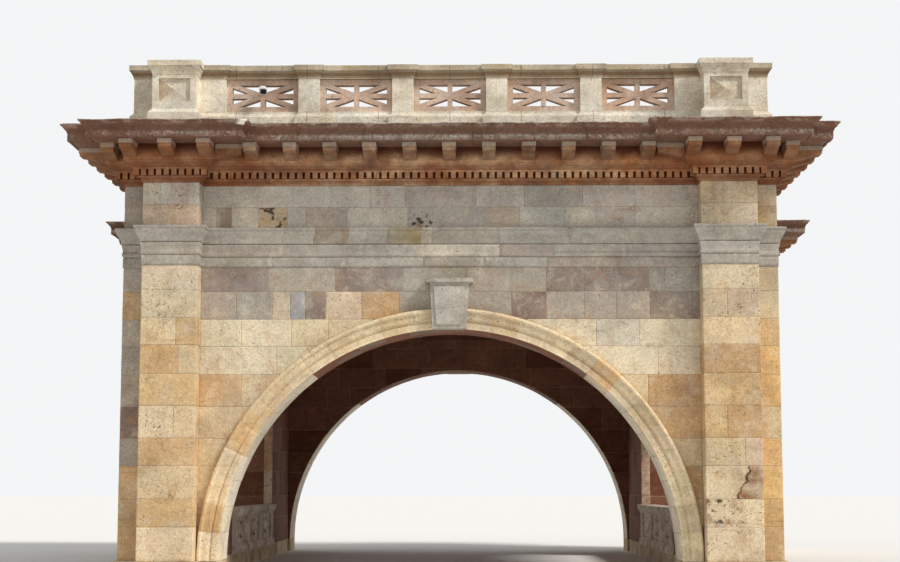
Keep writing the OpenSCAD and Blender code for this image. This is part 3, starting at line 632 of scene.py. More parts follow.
HIGH_UP = {"grey_from": 7.0, "grey_to": 7.6}
SLAB = 1.31
PARAPET = Limestone("limestone_parapet", blocks=False, pale="F0E8D6", warm="E9DDC6", deep="D9CAB0",
                    grey_amount=0.2, streak_amount=0.15, stain_amount=0.12, **HIGH_UP)
FINISHES: dict[str, Limestone] = {
    "wall": Limestone("limestone_wall", grey_amount=0.45, streak_amount=0.14, drip_and_shade_amount=0.16),
    # Bright ivory stones low on the arch jambs: painted sunlight.
    "jamb": Limestone("limestone_jamb_painted_sunlight", pale="F6EEDD", deep="DCC8A6", bloom="F0E6D2", grey_amount=0.0,
                      stain_amount=0.05, streak_amount=0.05),
    "pier": Limestone("limestone_pilaster", stain="9C6639", stain_amount=0.42, pit_amount=0.85,
                      streak_amount=0.2, drip_and_shade_amount=0.3),
    # Dark brown stones of the hall: painted shade inside the passage.
    "hall": Limestone("limestone_hall_painted_shade", pale="8A5F4C", deep="57341F", stain="4A2616", bloom="85604E",
                      grey_amount=0.05, stain_amount=0.35),
    # Dark stones over the crown of the soffits: painted shade.
    "reveal": Limestone("limestone_soffit_painted_shade", pale="98705A", deep="5F3B29", stain="55301F", bloom="94705A",
                        grey_amount=0.05, stain_amount=0.3),
    "backing": Limestone("mortar_backing", blocks=False, pale="BBAA90", warm="AC967A", deep="968064"),
    "string": Limestone("limestone_string", pale="CFC4B1", deep="A18E78", grey_amount=0.45, stain_amount=0.16,
                        streak_amount=0.12),
    "ring": Limestone("limestone_ring", grey_amount=0.2, stain_amount=0.12, streak_amount=0.12),
    "cornice": Limestone("limestone_cornice", pale="CFC3B4", deep="967863", stain="6E4C3B", bloom="A89582",
                         bloom_amount=0.65, grey_amount=0.3, stain_amount=0.45, crust_amount=0.52, crust_scale=8.0,
                         pit_amount=0.9, underside_shade_and_grime_amount=0.9, lip_amount=0.3, fleck_amount=0.7, **HIGH_UP),
    "bed": Limestone("stained_and_shaded_bed_moulding", blocks=False, pale="E8B98A", warm="C68653", deep="8A4E2C",
                     stain="4C2110", bloom_amount=0.1, grey_amount=0.15, stain_amount=0.45, rust_amount=0.6,
                     crust_amount=0.3, underside_shade_and_grime_amount=0.6, recess_shade_amount=1.0),
    "bracket": Limestone("stained_and_shaded_modillion", blocks=False, pale="C99D6E", warm="AE7747", deep="824E2C",
                         stain="52301F", cap_amount=0.75, rust_amount=0.5, stain_amount=0.3, crust_amount=0.3,
                         underside_shade_and_grime_amount=0.5),
    "parapet": PARAPET,
    # Corner dies: painted shade on the left facets of their diamond points.
    "die": replace(PARAPET, name="limestone_corner_die", deep="D3C3A7", stain_amount=0.15, left_facet_shade_amount=0.75),
    "base": replace(PARAPET, name="limestone_parapet_base", pale="EFE7D5", warm="E6DAC3", deep="D2C3A9",
                    joint_every=SLAB),
    "rail": replace(PARAPET, name="limestone_rail", pale="D9CCB0", warm="C5B594", deep="A6936F", stain="7C5F42",
                    grey_amount=0.3, stain_amount=0.2, underside_shade_and_grime_amount=0.85, joint_every=SLAB),
    "panel": replace(PARAPET, name="limestone_panel", pale="E0C4AE", warm="D2AE94", deep="BC9479",
                     grey_amount=0.3, streak_amount=0.25),
    "guard": Limestone("limestone_guard", blocks=False, pale="E0D2C2", warm="CDB9A6", deep="AE9884",
                       grey_amount=0.3),
    "key": Limestone("limestone_keystone", blocks=False, pale="BEB6A8", warm="B1A899", deep="9C917F",
                     grey_amount=0.35, grey_from=3.0, grey_to=4.0, streak_amount=0.12),
    "plinth": Limestone("limestone_plinth", blocks=False, pale="D6C4A2", warm="C4AC86", deep="A88E6C",
                        joint_every=SLAB),
    "roof": Limestone("roof_stone", pale="B9B0A3", deep="877C70", grey_amount=0.5, stain_amount=0.15, **HIGH_UP),
}
NODE_FINISH: dict[str, tuple[str, ...]] = {
    "plinth": ("plinth_left", "plinth_right"),
    "key": ("near_keystone", "side_keystones", "far_keystone", "watch_camera"),
    "bed": ("near_bed_moulding", "side_bed_mouldings", "far_bed_moulding"),
    "bracket": ("near_modillions", "side_modillions", "far_modillions"),
    "base": ("parapet_base",), "parapet": ("parapet_pedestals",), "rail": ("parapet_rail",),
    "die": ("corner_dies",), "panel": ("near_pierced_panels", "side_pierced_panels", "far_pierced_panels"),
    "guard": ("guard_pedestals", "guard_panels", "guard_rails"),
}


def paint_nodes(made: dict[str, bpy.types.Material]) -> None:
    """Gives every CAD node that stays its finish, and the bare masonry that of its mortar.

    Args:
        made: Materials by the name of their finish.
    """
    known = {node: made[key] for key, nodes in NODE_FINISH.items() for node in nodes}
    for name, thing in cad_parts.items():
        finish = known.get(name, made["backing"])
        if not thing.material_slots:
            thing.data.materials.append(finish)
        for held in thing.material_slots:
            held.material = finish


# Stones and what time has done to them


class Stone(Enum):
    """Colours of single blocks, and the wear of each."""

    PALE = ("E2D3B5", 0.3)
    CREAM = ("DCC8A4", 0.4)
    SAND = ("D6BE96", 0.5)
    HONEY = ("CFAE7E", 0.6)
    OCHRE = ("C5A074", 0.7)
    RUST = ("BF9D77", 0.9)
    BRONZE = ("866845", 0.7)
    ROSE = ("D1B89B", 0.5)
    CHALK = ("D6CBB6", 0.5)
    IVORY = ("EFE5D0", 0.3)
    ASH = ("C9C2B6", 0.5)
    GREY = ("B0A99D", 0.5)
    DRAB = ("A59C8E", 0.6)
    TAUPE = ("B0A190", 0.5)
    TAN = ("97855C", 0.5)
    SLATE = ("9A9DA3", 0.6)
    DUSK = ("8A776C", 0.6)
    AMBER = ("DDB67B", 0.5)
    UMBER = ("845A45", 0.7)
    BRICK = ("8E5F4A", 0.7)
    EARTH = ("704632", 0.7)

    @property
    def tone(self) -> Array:
        """Linear colour and wear."""
        return np.array((*srgb(self.value[0]), self.value[1]))


Mix = dict[Stone, float]


def mixed(**shares: float) -> Mix:
    """Mix of stones from their names and how common each is."""
    return {Stone[name]: share for name, share in shares.items()}


WALL_MIX = mixed(CREAM=2, SAND=4, HONEY=4, OCHRE=1.5, ROSE=1.2)
# Paler stones at the haunches: partly painted sunlight on the wall below the cornice's shade.
PALE_AND_SUNLIT_MIX = mixed(PALE=4, CREAM=4, CHALK=1.5, SAND=1)
# Darker, greyer stones from the haunches up: partly painted shade under the string course and the cornice.
BELT_STONE_AND_SHADE_MIX = mixed(DRAB=3, TAUPE=4, ROSE=1, DUSK=2.5)
UPPER_GREY_AND_SHADE_MIX = mixed(DRAB=5, GREY=2, TAUPE=3)
FRIEZE_MIX = mixed(ASH=5, GREY=2, CHALK=1.5, ROSE=0.7, TAUPE=0.8)
PIER_MIX = mixed(CHALK=0.4, CREAM=4, SAND=5, HONEY=4, OCHRE=2, ROSE=1.6, RUST=1)
MARGIN_MIX = mixed(AMBER=5, SAND=1.5, HONEY=2.5, ROSE=0.7)
SHADED_MIX = mixed(DRAB=2, TAUPE=3, OCHRE=1, DUSK=2)
NIB_MIX = mixed(ROSE=3, RUST=1)
ROOF_MIX = mixed(DRAB=4, GREY=3, TAUPE=2)
# Dark stones inside the passage: painted shade.
HALL_SHADE_MIX = mixed(UMBER=6, BRICK=3, EARTH=3)
# Jamb stones, brighter than the wall: painted sunlight.
JAMB_SUNLIT_MIX = mixed(IVORY=5, PALE=2)
# Soffit crown stones: painted shade.
SOFFIT_SHADE_MIX = mixed(BRICK=3, UMBER=3, DUSK=1.5)
MOULD_MIX = mixed(GREY=8, CHALK=0.7, TAUPE=1.6, DRAB=2)
RING_MIX = mixed(CREAM=6, SAND=3, HONEY=1)
CORNICE_MIX = mixed(GREY=3, DRAB=3, TAUPE=3, UMBER=1)


class Flaw(Enum):
    """What time has done to one stone."""

    NONE = "none"
    PITTED = "pitted"
    CRACKED = "cracked"


@dataclass(frozen=True)
class Accent:
    """One stone that stands out: its place on the wall, its tone and its flaw."""

    low: float
    high: float
    level: float
    stone: Stone
    flaw: Flaw = Flaw.NONE

    def pits(self, where: Array) -> tuple[Array, Array]:
        """Pits are high cells of a coarse noise, fewer away from the stone's middle.

        Args:
            where: Points on the stone.

        Returns:
            Depth and stain, from 0 to 1.
        """
        reach = np.abs(where[..., 0] - (self.low + self.high) / 2) / (self.high - self.low)
        deep = np.clip((fbm(where, 14.0, 4, 71) - 0.17 - 0.3 * reach) / 0.1, 0, 1)
        return deep, np.clip((fbm(where, 9.0, 4, 73) - 0.02) / 0.3, 0, 1) * np.clip(0.9 - 0.7 * reach, 0, 0.7)

    def crack(self, where: Array) -> tuple[Array, Array]:
        """A crack is a wandering line down the stone, rusty on its right-hand side.

        Args:
            where: Points on the stone.

        Returns:
            Depth and stain, from 0 to 1.
        """
        u, v = where[..., 0], where[..., 2]
        line = np.stack([v * 0 + 3, v * 0, v], -1)
        wander = 0.1 * fbm(line, 5.0, 2, 77) + 0.05 * fbm(line, 17.0, 3, 78)
        off = u - (self.low + 0.655 * (self.high - self.low) + (v - self.level) * 0.42 + wander)
        gape = 0.008 + 0.016 * np.clip(fbm(line, 8.0, 2, 80) + 0.3, 0, 1)
        stain = np.clip(off / 0.06 + 0.9, 0, 1) * np.clip(0.8 + 1.2 * fbm(where, 5.0, 4, 79), 0, 1.3)
        return np.clip(1.6 - np.abs(off) / gape, 0, 1), stain * np.clip(1.25 - off / 0.42, 0.3, 1)

    def paint(self, tone: Array, u: Array, v: Array) -> Array:
        """Tone of every point: the stone's, browned by the stain of its flaw and dark in its depth.

        Args:
            tone: Colour and wear of the sound stone.
            u: Places along the wall.
            v: Heights.

        Returns:
            Tones and soundness, shape (..., 4).
        """
        full = np.broadcast_to(tone, (*u.shape, 4)).copy()
        full[..., 3] = 1
        if self.flaw is Flaw.NONE:
            return full
        where = np.stack([u, np.zeros_like(u), v], -1)
        deep, stain = self.pits(where) if self.flaw is Flaw.PITTED else self.crack(where)
        full[..., :3] += (np.array(srgb("824A22")) - full[..., :3]) * np.clip(0.85 * stain, 0, 1)[..., None]
        full[..., 3] = 1 - 0.85 * deep
        return full


@dataclass
class Quarry:
    """Picks the tone of one stone after the other, always in the same order."""

    seed: int
    spread: float = 0.04
    hue_spread: float = 0.012
    shortest_end: float = 0.55

    def __post_init__(self) -> None:
        """Starts the sequence."""
        self.rng = np.random.default_rng(self.seed)

    def tone(self, mix: Mix) -> Array:
        """Tone of the next stone, near to one of the mix.

        Args:
            mix: Stones and how common each is.

        Returns:
            Red, green, blue and wear.
        """
        shares = np.array(list(mix.values()))
        tone = list(mix)[self.rng.choice(len(shares), p=shares / shares.sum())].tone
        tone[:3] *= self.rng.normal(1.0, self.spread) * self.rng.normal(1.0, self.hue_spread, 3)
        return np.clip(tone, 0.01, 0.95)

    def lengths(self, total: float, low: float, high: float) -> Array:
        """Cuts a run into stones of uneven length.

        Args:
            total: Length of the run.
            low: Shortest stone.
            high: Longest stone.

        Returns:
            Places of the joints, from 0 to total.
        """
        parts = []
        while sum(parts) < total:
            parts.append(self.rng.uniform(low, high))
        if len(parts) > 1 and total - sum(parts[:-1]) < self.shortest_end * low:
            parts.pop()
        marks = np.concatenate([[0.0], np.cumsum(parts)])
        return marks * total / marks[-1]


# Walls that carry stones


@dataclass(frozen=True)
class Perimeter:
    """Wall line in plan as a closed loop of right-angled corners, with the outside to its right."""

    corners: Array

    def __post_init__(self) -> None:
        """Works out lengths, directions, normals and the sums of normals at the corners."""
        step = np.roll(self.corners, -1, 0) - self.corners
        length = np.linalg.norm(step, axis=1)
        along = step / length[:, None]
        normal = np.stack([along[:, 1], -along[:, 0]], 1)
        for name, value in (("length", length), ("along", along), ("normal", normal),
                            ("mitre", normal + np.roll(normal, 1, 0))):
            object.__setattr__(self, name, value)

    def ends(self, side: int) -> tuple[int, int]:
        """Indices of the two corners of a side, which may be counted past the last."""
        return side % len(self.corners), (side + 1) % len(self.corners)

    def place(self, side: int, share: Array, out: Array, height: Array) -> Array:
        """Points beside one side of the loop, mitred at its corners.

        A point is the corner-to-corner blend of the two ends, each moved out
        along the sum of the normals that meet there.

        Args:
            side: Which side of the loop.
            share: From 0 at its start to 1 at its end.
            out: Distance from the wall line.
            height: Height.

        Returns:
            Points, shape (..., 3).
        """
        start, end = (self.corners[i] + out[..., None] * self.mitre[i] for i in self.ends(side))
        return np.concatenate([start + (end - start) * share[..., None], height[..., None]], -1)


class Wall:
    """Anything that carries stones; turned if its u, v and h are left-handed."""

    turned = False

    def place(self, u: Array, v: Array, h: Array) -> Array:
        """Points at u along the wall, v up it and h out of it."""
        raise NotImplementedError


@dataclass(frozen=True)
class Ribbon(Wall):
    """A stretch of a perimeter that may turn corners: u runs along it, v up and h outwards."""

    line: Perimeter
    first: int
    sides: int

    @property
    def marks(self) -> Array:
        """Places of the corners along the ribbon."""
        lengths = [self.line.length[self.line.ends(self.first + i)[0]] for i in range(self.sides)]
        return np.concatenate([[0.0], np.cumsum(lengths)])

    def place(self, u: Array, v: Array, h: Array) -> Array:
        """Points on the wall: along it by u, up to v and out by h; at a corner out both ways.

        Args:
            u: Distance along.
            v: Height.
            h: Distance out.

        Returns:
            Points, shape (..., 3).
        """
        marks = self.marks
        side = np.clip(np.searchsorted(marks, u, "right") - 1, 0, self.sides - 1)
        index = (side + self.first) % len(self.line.corners)
        plan = self.line.corners[index] + self.line.along[index] * (u - marks[side])[..., None]
        push = self.line.normal[index].copy()
        for i, mark in enumerate(marks):
            push[np.abs(u - mark) < 1e-5] = self.line.mitre[self.line.ends(self.first + i)[0]]
        return np.concatenate([plan + push * h[..., None], v[..., None]], -1)


@dataclass(frozen=True)
class Flat(Wall):
    """A plane wall: u runs along it, v up and h towards the side it faces."""

    start: tuple[float, float]
    along: tuple[float, float]

    def place(self, u: Array, v: Array, h: Array) -> Array:
        """Points: start plus u along the wall plus h along its normal, at height v."""
        ax, ay = self.along
        return np.stack([self.start[0] + ax * u + ay * h, self.start[1] + ay * u - ax * h, v], -1)


@dataclass(frozen=True)
class Deck(Wall):
    """A level floor: u along X, v along Y, h up."""

    level: float

    def place(self, u: Array, v: Array, h: Array) -> Array:
        """Points at (u, v), h above the level."""
        return np.stack([u, v, self.level + h], -1)


@dataclass(frozen=True)
class Soffit(Wall):
    """Inside of a round arch: u is arc length from the right, v the depth, h inwards.

    The arch runs along Y, or along X if turned.
    """

    radius: float
    centre: float
    turned: bool = False
    middle: float = 0.0

    def place(self, u: Array, v: Array, h: Array) -> Array:
        """Points on a circle of radius less h round the axis, at angle u over radius and depth v.

        Args:
            u: Arc length.
            v: Depth.
            h: Distance inwards.

        Returns:
            Points, shape (..., 3).
        """
        angle = u / self.radius
        across = self.middle + (self.radius - h) * np.cos(angle)
        up = self.centre + (self.radius - h) * np.sin(angle)
        return np.stack([v, across, up] if self.turned else [across, v, up], -1)


@dataclass(frozen=True)
class Hole:
    """Opening in a wall: straight jambs up to its spring, then part of a circle."""

    middle: float
    half_width: float
    spring: float
    radius: float
    centre: float

    @property
    def crown(self) -> float:
        """Height of the crown."""
        return self.centre + self.radius

    def half(self, v: Array) -> Array:
        """Half width at height v: the jamb's below the spring, above it the circle's."""
        curve = np.sqrt(np.clip(self.radius ** 2 - (v - self.centre) ** 2, 0, None))
        return np.where(v < self.spring, self.half_width, curve)

    def reach(self, level: float) -> float:
        """Half width at one level, 0 above the crown."""
        return float(self.half(np.array(level))) if level < self.crown else 0.0

    def top(self, d: Array) -> Array:
        """Height of the circle at distance d from the middle; nothing beyond the jambs."""
        curve = self.centre + np.sqrt(np.clip(self.radius ** 2 - d ** 2, 0, None))
        return np.where(np.abs(d) < self.half_width, curve, -1.0)


# Stones on walls


@dataclass
class Maker:
    """A piece in the making: its surface, and the quarry and mix that its stones come from."""

    name: str
    seed: int
    mix: Mix
    cell: float = 0.1
    accents: Sequence[Accent] = ()

    def __post_init__(self) -> None:
        """Starts the surface and the quarry."""
        self.surface = Surface(self.name)
        self.quarry = Quarry(self.seed)

    def done(self, finish: bpy.types.Material, slot: str, *nodes: str) -> None:
        """Builds the piece and dresses it."""
        dress(self.surface.build(), finish, slot, *nodes)


@dataclass
class Mason(Maker):
    """Lays stones on a wall, each a height field with rounded, chipped edges.

    Stones stand proud by an uneven amount and are bedded below the wall's
    face. Arris is the radius of a sound edge, and blunt is how far a stone is
    cut back where it turns a corner. Round a hole, stones farther out than the
    steep share of its radius are trimmed row by row, others column by column.
    """

    joint: float = 0.003
    proud: float = 0.006
    uneven: float = 0.0012
    arris: float = 0.008
    bedded: float = 0.003
    blunt: float = 0.0035
    flaw_cell: float = 0.016
    least_long: float = 0.05
    least_high: float = 0.04
    corner_gap: float = 0.24
    accent_gap: float = 0.25
    steep: float = 0.72
    chips: float = 0.013
    low: float = 0.6
    high: float = 1.3

    @staticmethod
    def spaced(length: float, cell: float) -> Array:
        """Samples along a stone: three close to each edge for its rounding, the rest even.

        Args:
            length: Length of the stone.
            cell: Distance between the even ones.

        Returns:
            Shares of the length, from 0 to 1.
        """
        edge = np.array([0.0, 0.003, 0.009, 0.022]) / length
        inner = np.linspace(edge[-1], 1 - edge[-1], max(2, int(round(length / cell)) + 1))
        return np.concatenate([edge[:-1], inner, 1 - edge[:-1][::-1]])

    def accent(self, a: float, b: float, v0: float, v1: float) -> Accent | None:
        """The accent whose middle lies in a stone, if any.

        Args:
            a: One end of the stone along the wall.
            b: The other end.
            v0: Its lower height.
            v1: Its upper height.

        Returns:
            The accent, or none.
        """
        low, high = min(a, b), max(a, b)
        for one in self.accents:
            if low < (one.low + one.high) / 2 < high and v0 < one.level < v1:
                return one
        return None

    def pinned(self, marks: Array, v0: float, v1: float, middle: float = 0.0, side: int = 1) -> Array:
        """Moves the joints of a course to the ends of its accents.

        Args:
            marks: Joints, as distances from a middle.
            v0: Lower height.
            v1: Upper height.
            middle: Where the distances start.
            side: 1 if they run to the right, -1 to the left.

        Returns:
            The joints.
        """
        for one in self.accents:
            if not v0 < one.level < v1:
                continue
            ends = sorted(((one.low - middle) * side, (one.high - middle) * side))
            if marks[0] + 0.1 < ends[0] and ends[1] < marks[-1] - 0.1:
                keep = [m for m in marks[1:-1] if m < ends[0] - self.accent_gap or m > ends[1] + self.accent_gap]
                marks = np.array(sorted([marks[0], *keep, *ends, marks[-1]]))
        return marks

    def outline(self, a: float, b: float, v0: float, v1: float, cell: float, hole: Hole | None,
                corners: Sequence[float]) -> tuple[Array, Array, Array]:
        """Points of a stone on its wall, and how far each lies from the stone's edge.

        Next to a steep part of a hole the near edge of each row follows the
        hole, and over a flat part the foot of each column does.

        Args:
            a: Start along the wall, or nearer distance from the hole's middle.
            b: End.
            v0: Lower height.
            v1: Upper height.
            cell: Distance between points.
            hole: Opening that trims the stone.
            corners: Places where the stone turns round a corner.

        Returns:
            Places along, heights and distances from the edge.
        """
        s, t = self.spaced(b - a, cell), self.spaced(v1 - v0, cell)
        for corner in corners:
            if a < corner < b:
                at = (corner - a) / (b - a)
                near = np.array([-0.02, -0.008, 0.0, 0.008, 0.02]) / (b - a) + at
                s = np.sort(np.concatenate([s[np.abs(s - at) > 0.024 / (b - a)], near]))
        s_grid, t_grid = np.meshgrid(s, t)
        across, up = b - a, v1 - v0
        u, v = a + across * s_grid, v0 + up * t_grid
        if hole and (max(a, hole.reach(v0)) > self.steep * hole.radius or v0 < hole.spring):
            start = max(v0, float(hole.top(np.array(b - 0.04)))) if v0 >= hole.spring else v0
            up = v1 - start
            v = start + up * t_grid
            low = np.maximum(a, hole.half(v) + self.joint / 2 * (v < hole.crown))
            across = b - low
            u = low + across * s_grid
        elif hole:
            foot = np.maximum(v0, hole.top(u) + self.joint / 2)
            up = v1 - foot
            v = foot + up * t_grid
        return u, v, np.minimum(np.minimum(s_grid, 1 - s_grid) * across, np.minimum(t_grid, 1 - t_grid) * up)

    def lay(self, wall: Wall, a: float, b: float, v0: float, v1: float, hole: Hole | None = None,
            side: int = 1, corners: Sequence[float] = ()) -> None:
        """Lays one stone between two places and two heights.

        The height over the wall is the proud amount times a quarter circle
        of the distance to the nearest edge, whose radius a noise widens
        where the arris is chipped, plus a gentle noise over the face.

        Args:
            wall: What carries the stone.
            a: Start along the wall, or nearer distance from the hole's middle.
            b: End along the wall, or farther distance.
            v0: Lower height.
            v1: Upper height.
            hole: Opening that trims the stone.
            side: 1 to the right of the hole's middle, -1 to the left.
            corners: Places where the stone turns round a corner.
        """
        tone = self.quarry.tone(self.mix)
        gap = self.joint / 2
        a, b, v0, v1 = a + gap, b - gap, v0 + gap, v1 - gap
        middle = hole.middle if hole else 0.0
        one = self.accent(middle + side * a, middle + side * b, v0, v1)
        tone = one.stone.tone if one else tone
        if hole:
            a = max(a, hole.reach(v1 - 0.03))
        if b - a < self.least_long or v1 - v0 < self.least_high:
            return
        cell = self.flaw_cell if one and one.flaw is not Flaw.NONE else self.cell
        u, v, edge = self.outline(a, b, v0, v1, cell, hole, corners)
        where = middle + side * u
        flat = wall.place(where, v, np.zeros_like(u))
        worn = np.clip(fbm(flat, 7.0, 3, 5) + 0.12, 0, None) * self.chips * (0.5 + tone[3])
        rise = np.sqrt(1 - (1 - np.clip(edge / (self.arris + worn), 0, 1)) ** 2)
        face = self.proud + float(self.quarry.rng.normal(0, self.uneven))
        relief = 0.0022 * fbm(flat, 5.0, 3, 9) + 0.0012 * fbm(flat, 24.0, 2, 13)
        h = -self.bedded + (face + self.bedded + relief) * rise
        for corner in corners:
            h = h - self.blunt * np.clip(1 - np.abs(u - corner) / 0.012, 0, 1)
        grid = wall.place(where, v, h)
        if one:
            tone = one.paint(tone, where, v)[:, ::side]
        self.surface.add(grid[:, ::side], tone, wall.turned)

    def course(self, wall: Wall, a: float, b: float, v0: float, v1: float, hole: Hole | None = None,
               corners: Sequence[float] = ()) -> None:
        """Lays one course of stones along a wall, parted by a hole where there is one.

        Args:
            wall: What carries the stones.
            a: Start along the wall.
            b: End along the wall.
            v0: Lower height.
            v1: Upper height.
            hole: Opening in this wall.
            corners: Places along the wall where it turns outwards.
        """
        if hole is None or v0 > hole.crown - 0.02:
            marks = self.pinned(a + self.quarry.lengths(b - a, self.low, self.high), v0, v1)
            for corner in corners:
                near = np.abs(marks[1:-1] - corner)
                if len(near) and near.min() < self.corner_gap - 0.02:
                    i = int(near.argmin()) + 1
                    marks[i] = corner + math.copysign(self.corner_gap, marks[i] - corner)
            for p, q in pairwise(marks):
                self.lay(wall, p, q, v0, v1, corners=corners)
            return
        inner = hole.reach(v1)
        for side, end in ((1, b - hole.middle), (-1, hole.middle - a)):
            if end - inner < self.least_long:
                continue
            marks = inner + self.quarry.lengths(end - inner, self.low, self.high)
            for p, q in pairwise(self.pinned(marks, v0, v1, hole.middle, side)):
                self.lay(wall, p, q, v0, v1, hole=hole, side=side)


# Profiles carried along paths


def profile(*rows: Sequence[float], cell: float = 0.05) -> Array:
    """Section of a moulding, with points added where two rows lie far apart.

    Args:
        rows: Distance out, height and wear of each point, from the foot upwards.
        cell: Greatest distance between two points.

    Returns:
        The rows, shape (points, 3).
    """
    given = np.array(rows, dtype=float)
    made = [given[:1]]
    for p, q in pairwise(given):
        n = max(1, int(math.ceil(np.linalg.norm(q[:2] - p[:2]) / cell)))
        piece = p + (q - p) * (np.arange(1, n + 1)[:, None] / n)
        piece[:-1, 2] = 0.15
        made.append(piece)
    return np.concatenate(made)


class Curve(Enum):
    """Classical curves: a bulging quarter, and double curves upright or level at both ends."""

    OVOLO = "ovolo"
    REVERSA = "reversa"
    RECTA = "recta"

    def points(self, a: Sequence[float], b: Sequence[float], wear: float, n: int) -> list[tuple]:
        """Points from a to b in n steps, by quarter or half waves of sine and cosine.

        Args:
            a: First point as distance out and height.
            b: Last point.
            wear: Wear of these points.
            n: Steps.

        Returns:
            Rows of distance out, height and wear.
        """
        t = np.linspace(0, 1, n + 1)
        ease = (1 - np.cos(np.pi * t)) / 2
        x, z = {Curve.OVOLO: (np.sin(np.pi / 2 * t), 1 - np.cos(np.pi / 2 * t)),
                Curve.REVERSA: (ease, t), Curve.RECTA: (t, ease)}[self]
        return [(a[0] + (b[0] - a[0]) * p, a[1] + (b[1] - a[1]) * q, wear) for p, q in zip(x, z)]


@dataclass
class Carver(Maker):
    """Carries a profile along a path as single stones that meet in a shallow joint.

    Wear moves points towards the core, a distance out. Fresh is how much of the loss shows as a new break, and lit is
    a painted highlight: how much lighter the most worn arrises are made.
    """

    low: float = 0.9
    high: float = 1.5
    chips: float = 0.014
    core: float = -0.1
    joint: float = 0.002
    sink: float = 0.005
    fresh: float = 0.0
    lit: float = 0.0
    breaks: Sequence[tuple[float, float]] = ()
    break_reach: float = 0.075
    break_depth: float = 0.045
    shortest_cut: float = 0.7
    accent_gap: float = 0.2

    def stone(self, place: Place, s0: float, s1: float, rows: Array, length: float, tone: Array,
              close: tuple[bool, bool] = (True, True)) -> None:
        """Makes one stone of a moulding.

        Each point of the profile is moved towards the profile's core by
        the wear of its edge times a noise, and by the sink at the joints.
        Near a break in plan it is moved further, and where much stone is
        lost its soundness rises above 1, which the finish shows as a fresh
        break.

        Args:
            place: Turns share along the path, distance out and height into points.
            s0: Start as a share of the path.
            s1: End as a share of the path.
            rows: Profile.
            length: Length of the path in metres.
            tone: Colour and wear.
            close: Whether a joint lies at the start and at the end.
        """
        joint = self.joint / length
        inner = np.linspace(s0 + joint * close[0], s1 - joint * close[1],
                            max(2, int((s1 - s0) * length / self.cell) + 2))
        s = np.concatenate([[s0] * close[0], inner, [s1] * close[1]])
        sunk = np.zeros(len(s))
        sunk[[0, -1]] = close
        s_grid, x = np.meshgrid(s, rows[:, 0])
        z, wear = (np.repeat(rows[:, i:i + 1], len(s), 1) for i in (1, 2))
        flat = place(s_grid, x, z)
        to_core = np.array([self.core, rows[:, 1].mean()]) - np.stack([x, z], -1)
        to_core /= np.linalg.norm(to_core, axis=-1, keepdims=True)
        chip = np.clip(fbm(flat, 5.5, 4, 31) + 0.08, 0, None) * self.chips * 2.2 * wear
        lost = np.clip((chip / self.chips - 0.8) / 0.2, 0, 1) * self.fresh
        for bx, by in self.breaks:
            away = np.hypot(flat[..., 0] - bx, flat[..., 1] - by)
            broken = np.clip((self.break_reach + 0.11 * fbm(flat, 8.0, 3, 83) - away) / 0.03, 0, 1)
            chip = chip + self.break_depth * broken
            lost = np.maximum(lost, broken)
        shift = np.clip(chip + 0.0008 + 0.0016 * fbm(flat, 9.0, 2, 37), 0, None) + self.sink * sunk
        grid = place(s_grid, x + to_core[..., 0] * shift, z + to_core[..., 1] * shift)
        # Painted highlight: the arrises with the most wear are made lighter.
        worn = 1 + self.lit * np.clip((wear - 0.6) / 0.3, 0, 1)[..., None]
        self.surface.add(grid, np.concatenate([tone[:3] * worn, 1 + lost[..., None]], -1))

    def run(self, line: Perimeter, sides: Sequence[int], rows: Array) -> None:
        """Makes the stones of a moulding along sides of a perimeter; stones turn its corners.

        Args:
            line: Wall line.
            sides: Sides that the moulding runs along.
            rows: Profile.
        """
        tone = self.quarry.tone(self.mix)
        for side in sides:
            length = float(line.length[line.ends(side)[0]])
            marks = self.quarry.lengths(length, self.low, self.high) / length
            if length < self.shortest_cut:
                marks = np.array([0.0, 1.0])
            start, end = (line.corners[i, 0] for i in line.ends(side))
            known = [one for one in self.accents if abs(one.level - rows[:, 1].mean()) < 0.2
                     and start < one.low and one.high < end]
            for one in known:
                low, high = ((x - start) / length for x in (one.low, one.high))
                gap = self.accent_gap / length
                keep = [m for m in marks[1:-1] if m < low - gap or m > high + gap]
                marks = np.array(sorted([0.0, *keep, low, high, 1.0]))
            for i, (p, q) in enumerate(pairwise(marks)):
                if i:
                    tone = self.quarry.tone(self.mix)
                for one in known:
                    if one.low < start + (p + q) / 2 * (end - start) < one.high:
                        tone = one.stone.tone
                self.stone(partial(line.place, side), p, q, rows, length, tone, (i > 0, i < len(marks) - 2))


# The arch


PILASTER_W = 1.0
PAIR_GAP = 0.46
SIDE_CROWN = 4.58
VOUSSOIRS, HEAD_STONES = 27, 13
COURSES = (0.3, 0.9, 1.39, 1.97, 2.46, 3.03, 3.6, 4.11, 4.6, 5.1, 5.54)
FRIEZE_FROM, BELT_FROM, BELT_TO, LIGHT_FROM = 6.2, 4.5, 5.6, 3.5

# First sides of these parts of the wall line, counted anticlockwise from the near left corner
LEFT_PILASTER, RIGHT_PILASTER, NEAR_RIGHT = 1, 5, 8
FAR_FRONT, FAR_PLAIN, WINGS = 20, (16, 24), (10, 28)
FAR_PILASTERS = (13, 17, 21, 25)
# All sides of the near front, the side walls and the far front where the far pilasters are paired
PAIRED_NEAR, PAIRED_SIDES, PAIRED_FAR = range(0, 9), (9, 10, 11, 21, 22, 23), range(12, 21)


def beds(top: float, least: float = 0.1) -> list[float]:
    """Heights of the bed joints up to a top, under a last course of at least this height."""
    return [z for z in COURSES if z < top - least] + [top]


